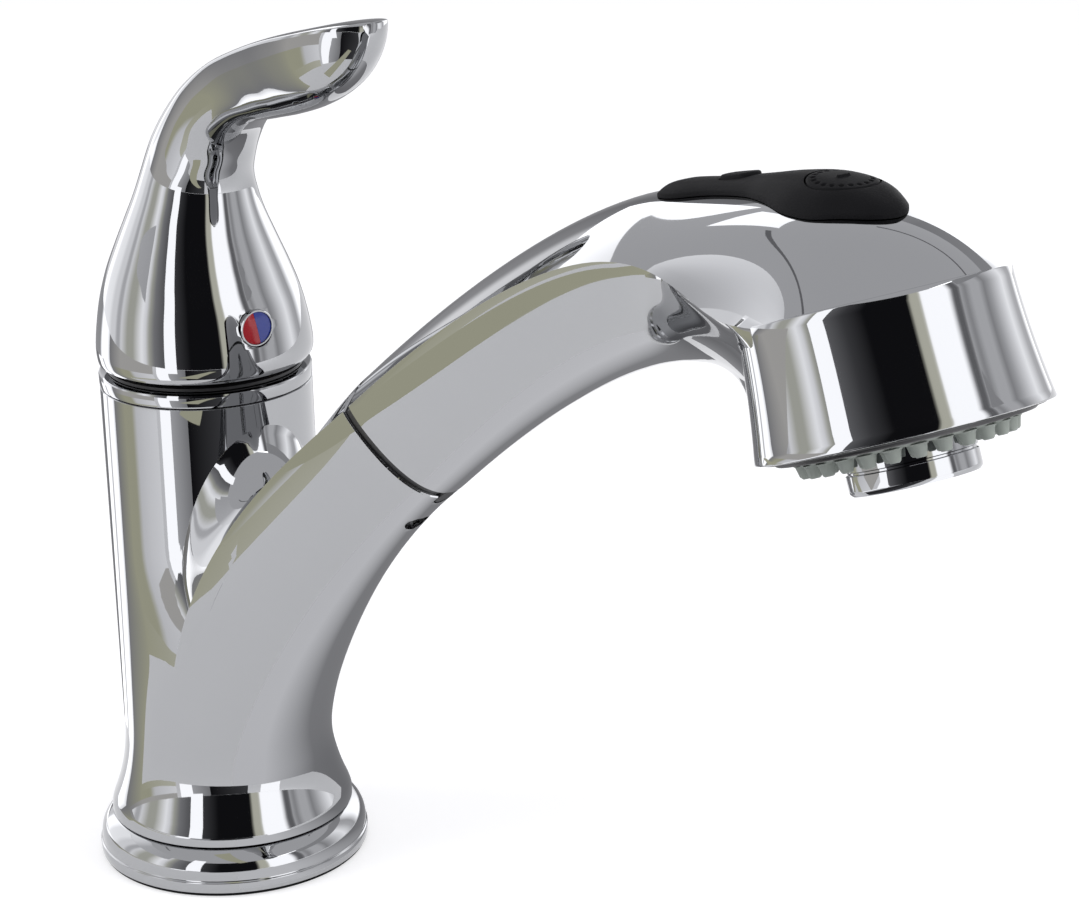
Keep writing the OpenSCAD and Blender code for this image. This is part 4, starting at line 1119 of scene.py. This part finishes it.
@dataclass
class Handle:
    """Dome and lever in one casting, with the temperature button.

    Each station gives the back's and the front's place in the middle plane, the half width,
    and the share of the depth at which the ring is widest.
    """

    rim_z: float = 119.4
    wall_r: float = 21.7
    recess_z: float = 131.3
    dot_x: float = 22.4
    dot_z: float = 130.5
    dot_r: float = 4.1
    stations: tuple = (
        (-23.7, 119.4, 23.7, 119.4, 23.7, 0.5), (-23.7, 120.6, 24.5, 120.6, 24.1, 0.5),
        (-23.9, 123, 24.6, 123, 24.2, 0.5), (-23.4, 128, 23.7, 128, 23.6, 0.5),
        (-22.4, 134, 22.1, 134, 22.4, 0.5), (-20.7, 140, 19.6, 140, 20.5, 0.5),
        (-18.2, 146, 17.1, 146, 18.1, 0.5), (-15.5, 152, 15, 152, 15.6, 0.5),
        (-13.1, 157, 14.2, 157, 13.8, 0.5), (-10.9, 161.8, 14.1, 161.4, 12.6, 0.5),
        (-7.8, 167, 16, 165.6, 12.1, 0.52), (-3.4, 172.4, 18.3, 169.6, 12, 0.55),
        (3.8, 179, 22.4, 173.9, 11.8, 0.62), (13.4, 185.8, 28.7, 177.2, 11.5, 0.75),
        (25, 191.6, 36.7, 179.4, 11.1, 0.88), (37, 196, 45.5, 181.7, 11, 0.93),
        (48.1, 199.5, 53.8, 184.4, 11, 0.94), (57, 201.8, 61, 187.6, 10.6, 0.94),
        (64, 203.5, 66.8, 191.3, 9.4, 0.93), (69.1, 204.4, 71, 195.6, 7, 0.92),
        (72.1, 204.7, 73.2, 199.5, 4.2, 0.9), (73.5, 204.6, 73.9, 202.1, 1.6, 0.85))

    def __post_init__(self) -> None:
        """Works out the temperature button's frame, its Z forwards."""
        self.dot_frame = frame_at(Vector((self.dot_x, 0, self.dot_z)), Vector((1, 0, 0)))

    def point(self, s: float, v: float) -> Vector:
        """Returns a point of the casting, s from -1 to 1 once round."""
        back_x, back_z, front_x, front_z, width, k = through(self.stations, v)
        angle = 180 * (s + 1)
        rise = sind(angle)
        power = mix(1, 1.25, min(1, 2.3 * (k - 0.5)))
        share = k + (1 - k) * rise if rise >= 0 else k * (1 - abs(rise) ** power)
        front, back = Vector((front_x, 0, front_z)), Vector((back_x, 0, back_z))
        return mix(front, back, share) + width * cosd(angle) * Y

    def build_casting(self) -> None:
        """Makes the dome and lever, hollow below, with the button's pocket."""
        bm = bmesh.new()
        lay_patch(bm, 72, 126, self.point)
        weld(bm)
        pull_loop(bm, loop_near(bm, self.rim_z * Z), onto_ring(self.wall_r, self.rim_z),
                  onto_ring(self.wall_r, self.recess_z))
        cap_loops(bm)
        weld(bm)
        piece = finish_piece("lever_casting", bm, CHROME, Body.LEVER, "handle_shell", sharp=50, rounding=0.25)
        pocket = bmesh.new()
        r = self.dot_r + 0.1
        lathe(pocket, [(0, -0.4), (r, -0.4), (r, 6.0), (0, 6.0)], 72, self.dot_frame)
        carve(piece, pocket)

    def build_button(self) -> None:
        """Makes the bezel with the red and blue halves."""
        r = self.dot_r
        bezel = [(r - 0.5, 0), (r - 0.5, 0.9), (r - 0.38, 1.1), (r - 0.12, 1.1), (r, 0.95), (r, 0)]
        turn_piece("button_rim", bezel, CHROME, Body.LEVER, "button_bezel", 72, self.dot_frame)
        for side, heat, finish in ((-1, "hot", RED), (1, "cold", BLUE)):
            bm = bmesh.new()
            lathe(bm, [(0, 0), (r - 0.55, 0), (r - 0.55, 0.8), (r - 1.2, 0.95), (0, 1.0)], 72, self.dot_frame,
                  closed=False)
            bmesh.ops.bisect_plane(bm, geom=[*bm.verts, *bm.edges, *bm.faces],
                                   plane_co=Vector((22, side * 0.02, self.dot_z)) * MM,
                                   plane_no=Vector((0, -side * cosd(12), -side * sind(12))), clear_outer=True)
            cap_loops(bm)
            bmesh.ops.recalc_face_normals(bm, faces=bm.faces)
            finish_piece(f"{heat}_half", bm, finish, Body.LEVER, f"{heat}_mark")

    def build(self) -> None:
        """Makes the casting and the temperature button."""
        self.build_casting()
        self.build_button()


# Pieces kept from the CAD model


@dataclass
class Works:
    """Inner and plain pieces that keep their CAD shape and get their real finish."""

    finishes: dict = field(default_factory=lambda: {
        BRASS: ("mounting_base", "valve_body", "bonnet_nut"),
        COPPER: ("hot_supply_tube", "cold_supply_tube", "outlet_tube"),
        WHITE_ACETAL: ("thrust_washer", "lower_glide_ring", "upper_glide_ring", "check_valve", "waterway",
                       "head_core"),
        ACETAL: ("cartridge_sleeve", "dock_bushing", "pivot_ring", "handle_yoke"),
        BLACK_OXIDE: ("dock_screw",),
        STEEL: ("hinge_pin", "cartridge_stem", "stem_cross_pin", "handle_screw", "hose_nipple",
                "front_button_spring", "rear_button_spring", "diverter_spool"),
        RUBBER: ("stem_seals",)})

    def build(self, nodes: dict) -> None:
        """Gives each kept node its material.

        Args:
            nodes: CAD objects by node name.
        """
        for finish, names in self.finishes.items():
            for name in names:
                materials = nodes[name].data.materials
                materials.clear()
                materials.append(finish.material())
            LOG.info("%s: %s", finish.title, ", ".join(names))


# Studio


# The cloths and boards of the light tent, and the painted shade of the floor round the foot, in the tone that
# the chrome shows.
CLOTHS = {"white": "F8F8FA", "paper": "DADADC", "pale": "C4C4C6", "light": "B0B0B2", "silver": "9E9EA0",
          "grey": "949496", "mid": "7A7A7C", "slate": "6C6C6E", "dark": "58585A", "ink": "343436",
          "black": "0E0E10", "khaki": "8E8D7B", "sand": "A3A296", "dust": "95958D",
          "taupe": "959390"}


@dataclass(frozen=True)
class Card:
    """A curved card of the light tent, which only shows in reflections.

    The ends are the radius and height in metres of its two long edges, and the middle is where
    its axis stands. Each stop gives the degrees round the tent from the camera's side and the
    cloth there; between two stops one cloth fades into the next.
    """

    name: str
    ends: tuple[tuple[float, float], ...]
    stops: tuple[tuple[float, str], ...]
    middle: tuple[float, float] = (0.08, 0.0)
    camera_side: float = -30.0

    def tone(self, at: float) -> tuple[float, ...]:
        """Returns the linear colour at some degrees round the tent."""
        for (a, first), (b, second) in zip(self.stops, self.stops[1:]):
            if at <= b:
                share = max(0.0, (at - a) / (b - a))
                return tuple(mix(x, y, share) for x, y in zip(linear(CLOTHS[first]), linear(CLOTHS[second])))
        return linear(CLOTHS[self.stops[-1][1]])

    def build(self, cloth: Material) -> None:
        """Makes the card.

        Args:
            cloth: glowing material that takes its colour from the mesh.
        """
        bm = bmesh.new()
        first, last = self.stops[0][0], self.stops[-1][0]
        turn = first + self.camera_side
        verts = [bm.verts.new((radius * cosd(turn), radius * sind(turn), z)) for radius, z in self.ends]
        edge = bm.edges.new(verts)
        arc = last - first
        bmesh.ops.spin(bm, geom=[*verts, edge], cent=(0, 0, 0), axis=(0, 0, 1), angle=math.radians(arc),
                       steps=max(2, int(arc / 1.5)), use_duplicate=False)
        layer = bm.verts.layers.float_color.new("tone")
        for vert in bm.verts:
            at = math.degrees(math.atan2(vert.co.y, vert.co.x)) - self.camera_side
            at = at if at <= 180.0 else at - 360.0
            if abs(at) > 179.9:
                at = math.copysign(180.0, first + last)
            vert[layer] = self.tone(at)
        bmesh.ops.translate(bm, vec=(*self.middle, 0), verts=bm.verts)
        card = add_object(self.name, to_mesh(self.name, bm))
        card.data.materials.append(cloth)
        card.visible_camera = False
        card.visible_diffuse = False
        card.visible_shadow = False


# The tent has a dark opening at the camera, white sheets, grey walls and khaki boards.
CARDS = (
    Card("tent_wall_front", ((1.2, 0.0), (1.2, 0.95)), (
        (-68, "pale"), (-64, "dust"), (-58, "slate"), (-50, "dark"), (-34, "ink"), (-18, "black"),
        (15.5, "black"), (18, "sand"), (25, "sand"), (27, "white"), (48, "white"), (50, "paper"), (53, "dark"), (58, "dark"),
        (60, "grey"))),
    Card("tent_wall_right", ((1.2, 0.0), (1.2, 0.7)), (
        (60, "grey"), (64, "mid"), (70, "silver"), (78, "silver"), (84, "mid"), (90, "grey"), (108, "paper"),
        (120, "silver"), (126, "grey"), (136, "white"), (148, "white"), (165, "light"), (170, "slate"),
        (180, "dark"))),
    Card("tent_wall_left", ((1.2, 0.0), (1.2, 0.7)), (
        (-180, "dark"), (-170, "slate"), (-166, "light"), (-150, "light"), (-148, "white"), (-140, "white"),
        (-136, "paper"), (-124, "paper"), (-118, "pale"), (-111, "pale"), (-108, "silver"), (-104, "silver"),
        (-101, "pale"), (-92, "dust"), (-84, "dust"), (-73, "paper"), (-68, "pale"))),
    Card("tent_cove_left", ((1.2, 0.7), (1.2, 1.0)), ((-180, "grey"), (-68, "grey"))),
    Card("tent_cove_right", ((1.2, 0.7), (1.2, 1.0)), (
        (60, "mid"), (120, "mid"), (150, "slate"), (180, "grey"))),
    Card("tent_ceiling", ((2.6, 1.0), (0.01, 1.0)), (
        (-180, "grey"), (100, "grey"), (118, "mid"), (140, "slate"), (155, "mid"), (180, "grey")),
         (-0.9, 0.3)),
    Card("tent_flag", ((0.3, 0.1), (0.32, 0.1)), ((-82, "khaki"), (-62, "khaki")), (0.156, 0.244)),
    Card("tent_seam_right", ((0.66, 0.9), (0.685, 0.9)), ((112, "dark"), (165, "dark")), (0.19, 0)),
    Card("tent_strip", ((0.5, 0.0), (0.5, 0.5)), ((-51, "white"), (-38, "white"))),
    Card("tent_box_left", ((0.55, 0.3), (0.55, 0.5)), (
        (-178, "white"), (-152, "white"), (-134, "paper"), (-117, "pale"), (-106, "silver"), (-75, "grey"))),
    Card("tent_seam_left", ((0.54, 0.65), (0.54, 0.672)), ((-150, "dark"), (-92, "dark"))),
    Card("tent_box_behind", ((0.95, 0.75), (0.95, 1.1)), ((-172, "white"), (-155, "white"))))

# Each floor mat gives its near and far edge and its stops.
MATS = (
    # The first mat, a ring from the base ring out to 16 cm, is painted shade: the chrome mirrors it as the
    # floor darkened by the faucet, light grey under the arm and dark round the back.
    (0.034, 0.16, ((0, "light"), (30, "light"), (60, "grey"), (90, "slate"), (150, "dark"))),
    (0.05, 1.2, ((-180, "dark"), (-163, "slate"))), (0.05, 1.2, ((163, "slate"), (180, "dark"))),
    (0.085, 0.45, ((-163, "dark"), (-150, "dark"), (-147, "white"), (-138, "white"), (-135, "slate"),
                   (-132, "white"), (-122, "white"), (-118, "pale"))),
    (0.45, 1.2, ((-163, "slate"), (-142, "mid"), (-136, "white"), (-122, "white"), (-118, "pale"))),
    (0.085, 0.38, ((-118, "slate"), (-99, "khaki"))), (0.38, 1.2, ((-118, "slate"), (-99, "taupe"))),
    (0.15, 0.195, ((-100, "khaki"), (-57, "sand"))),
    (0.195, 0.38, ((-100, "khaki"), (-88, "khaki"), (-82, "light"), (-57, "pale"))),
    (0.38, 1.2, ((-100, "taupe"), (-57, "taupe"))), (0.16, 1.2, ((-53, "white"), (-40, "white"))),
    (0.16, 1.2, ((-40, "grey"), (-22, "slate"))), (0.16, 1.2, ((-22, "black"), (15, "ink"))),
    (0.17, 1.2, ((28, "white"), (48, "white"))))


@dataclass
class Studio:
    """Pale floor, soft light from both sides, light tent, and the camera of the photograph.

    A lamp gives its name, its place and size in metres and its power.
    """

    camera_d: float = 700.82
    camera_h: float = 327.98
    camera_az: float = 59.98
    pan: float = -6.09
    pitch: float = 18.75
    roll: float = -1.69
    focal_px: float = 3240.5
    width_px: int = 1079
    tent_glow: float = 2.56
    mat_z: float = 0.0004
    floor_glow: float = 0.52
    lamps: tuple = (("softbox_left", (-0.5, -1.3, 0.9), 1.0, 12.0),
                    ("softbox_right", (1.3, 0.5, 0.8), 0.9, 10.5))

    def build_camera(self) -> None:
        """Sets the camera where the photograph's was."""
        away, turn = self.camera_d, self.camera_az
        place = Vector((away * sind(turn), -away * cosd(turn), self.camera_h))
        az = math.degrees(math.atan2(-place.y, -place.x)) + self.pan
        ahead = Vector((cosd(az) * cosd(self.pitch), sind(az) * cosd(self.pitch), -sind(self.pitch)))
        right = ahead.cross(Z).normalized()
        up = right.cross(ahead)
        c, s = cosd(self.roll), sind(self.roll)
        right, up = c * right + s * up, c * up - s * right
        data = bpy.data.cameras.new("camera")
        data.sensor_fit = "HORIZONTAL"
        data.sensor_width = 36.0
        data.lens = self.focal_px * data.sensor_width / self.width_px
        data.clip_start = 0.01
        camera = add_object("camera", data)
        pose = Matrix((right, up, -ahead)).transposed().to_4x4()
        camera.matrix_world = Matrix.Translation(place * MM) @ pose
        bpy.context.scene.camera = camera

    def build_tent(self) -> None:
        """Hangs the cards and lays the mats that the chrome mirrors."""
        cloth = bpy.data.materials.new("Tent cloth")
        tree = bare_tree(cloth)
        tone = add_node(tree, "NodeAttribute", {"attribute_name": "tone"}).outputs["Color"]
        glow = add_node(tree, "NodeEmission", {"Strength": self.tent_glow}, {"Color": tone})
        add_node(tree, "NodeOutputMaterial", {}, {"Surface": glow.outputs["Emission"]})
        for card in CARDS:
            card.build(cloth)
        for k, (near, far, stops) in enumerate(MATS):
            Card(f"tent_mat_{k}", ((near, self.mat_z), (far, self.mat_z)), stops, (0, 0)).build(cloth)

    def build_floor(self) -> None:
        """Makes the pale floor, white to the camera and in the chrome, with the shadow kept."""
        bm = bmesh.new()
        bmesh.ops.create_grid(bm, x_segments=1, y_segments=1, size=6.0)
        floor = add_object("floor", to_mesh("floor", bm))
        floor.location.z = -0.0002
        material = bpy.data.materials.new("Matt white studio floor")
        tree = bare_tree(material)
        paint = add_node(tree, "NodeBsdfDiffuse", {"Color": linear("C8C8CA")}).outputs[0]
        path = add_node(tree, "NodeLightPath").outputs
        glow = add_node(tree, "NodeEmission", {"Color": (1, 1, 1, 1), "Strength": self.floor_glow}).outputs[0]
        off = add_node(tree, "NodeEmission", {"Strength": 0.0}).outputs[0]
        mirrored = add_node(tree, "NodeMath", {"operation": "ADD"},
                            {0: path["Is Glossy Ray"], 1: path["Is Transmission Ray"]}).outputs[0]
        shown = add_node(tree, "NodeMath", {"operation": "ADD", "use_clamp": True},
                         {0: path["Is Camera Ray"], 1: mirrored}).outputs[0]
        seen = add_node(tree, "NodeMixShader", {}, {0: shown, 1: off, 2: glow}).outputs[0]
        both = add_node(tree, "NodeAddShader", {}, {0: paint, 1: seen}).outputs[0]
        add_node(tree, "NodeOutputMaterial", {}, {"Surface": both})
        floor.data.materials.append(material)

    def build_lights(self) -> None:
        """Hangs two soft boxes and an even white surround."""
        world = bpy.data.worlds.new("surround")
        bpy.context.scene.world = world
        tree = bare_tree(world)
        camera_ray = add_node(tree, "NodeLightPath").outputs["Is Camera Ray"]
        soft = add_node(tree, "NodeBackground", {"Color": linear("F4F4F7"), "Strength": 0.75}).outputs[0]
        white = add_node(tree, "NodeBackground", {"Color": (1, 1, 1, 1), "Strength": 1.0}).outputs[0]
        pick = add_node(tree, "NodeMixShader", {}, {0: camera_ray, 1: soft, 2: white}).outputs[0]
        add_node(tree, "NodeOutputWorld", {}, {"Surface": pick})
        for name, at, size, power in self.lamps:
            data = bpy.data.lights.new(name, "AREA")
            data.shape = "SQUARE"
            data.size = size
            data.energy = power
            lamp = add_object(name, data)
            lamp.location = at
            lamp.rotation_euler = (Vector(at) - Vector((0.08, 0, 0.1))).to_track_quat("Z", "Y").to_euler()

    def build(self) -> None:
        """Makes the camera, the floor, the cards and the lights."""
        self.build_camera()
        self.build_floor()
        self.build_tent()
        self.build_lights()
        bpy.context.scene.view_settings.view_transform = "Standard"


def main() -> None:
    """Builds the faucet and the studio in order."""
    logging.basicConfig(level=logging.INFO, format="%(name)s %(message)s")
    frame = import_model()
    Studio().build()
    Works().build(frame["nodes"])
    BaseRing().build()
    TrimRing().build()
    spout = Spout()
    spout.build()
    seam = spout.seam
    wand = Wand(replace(seam, base=seam.base + 2.8 * seam.ahead))
    wand.build_collar()
    shell = wand.build_shell()
    SprayHead(wand).build()
    ThumbPad(wand).build(shell)
    Handle().build()
    bpy.context.view_layer.update()


if __name__ == "__main__":
    main()
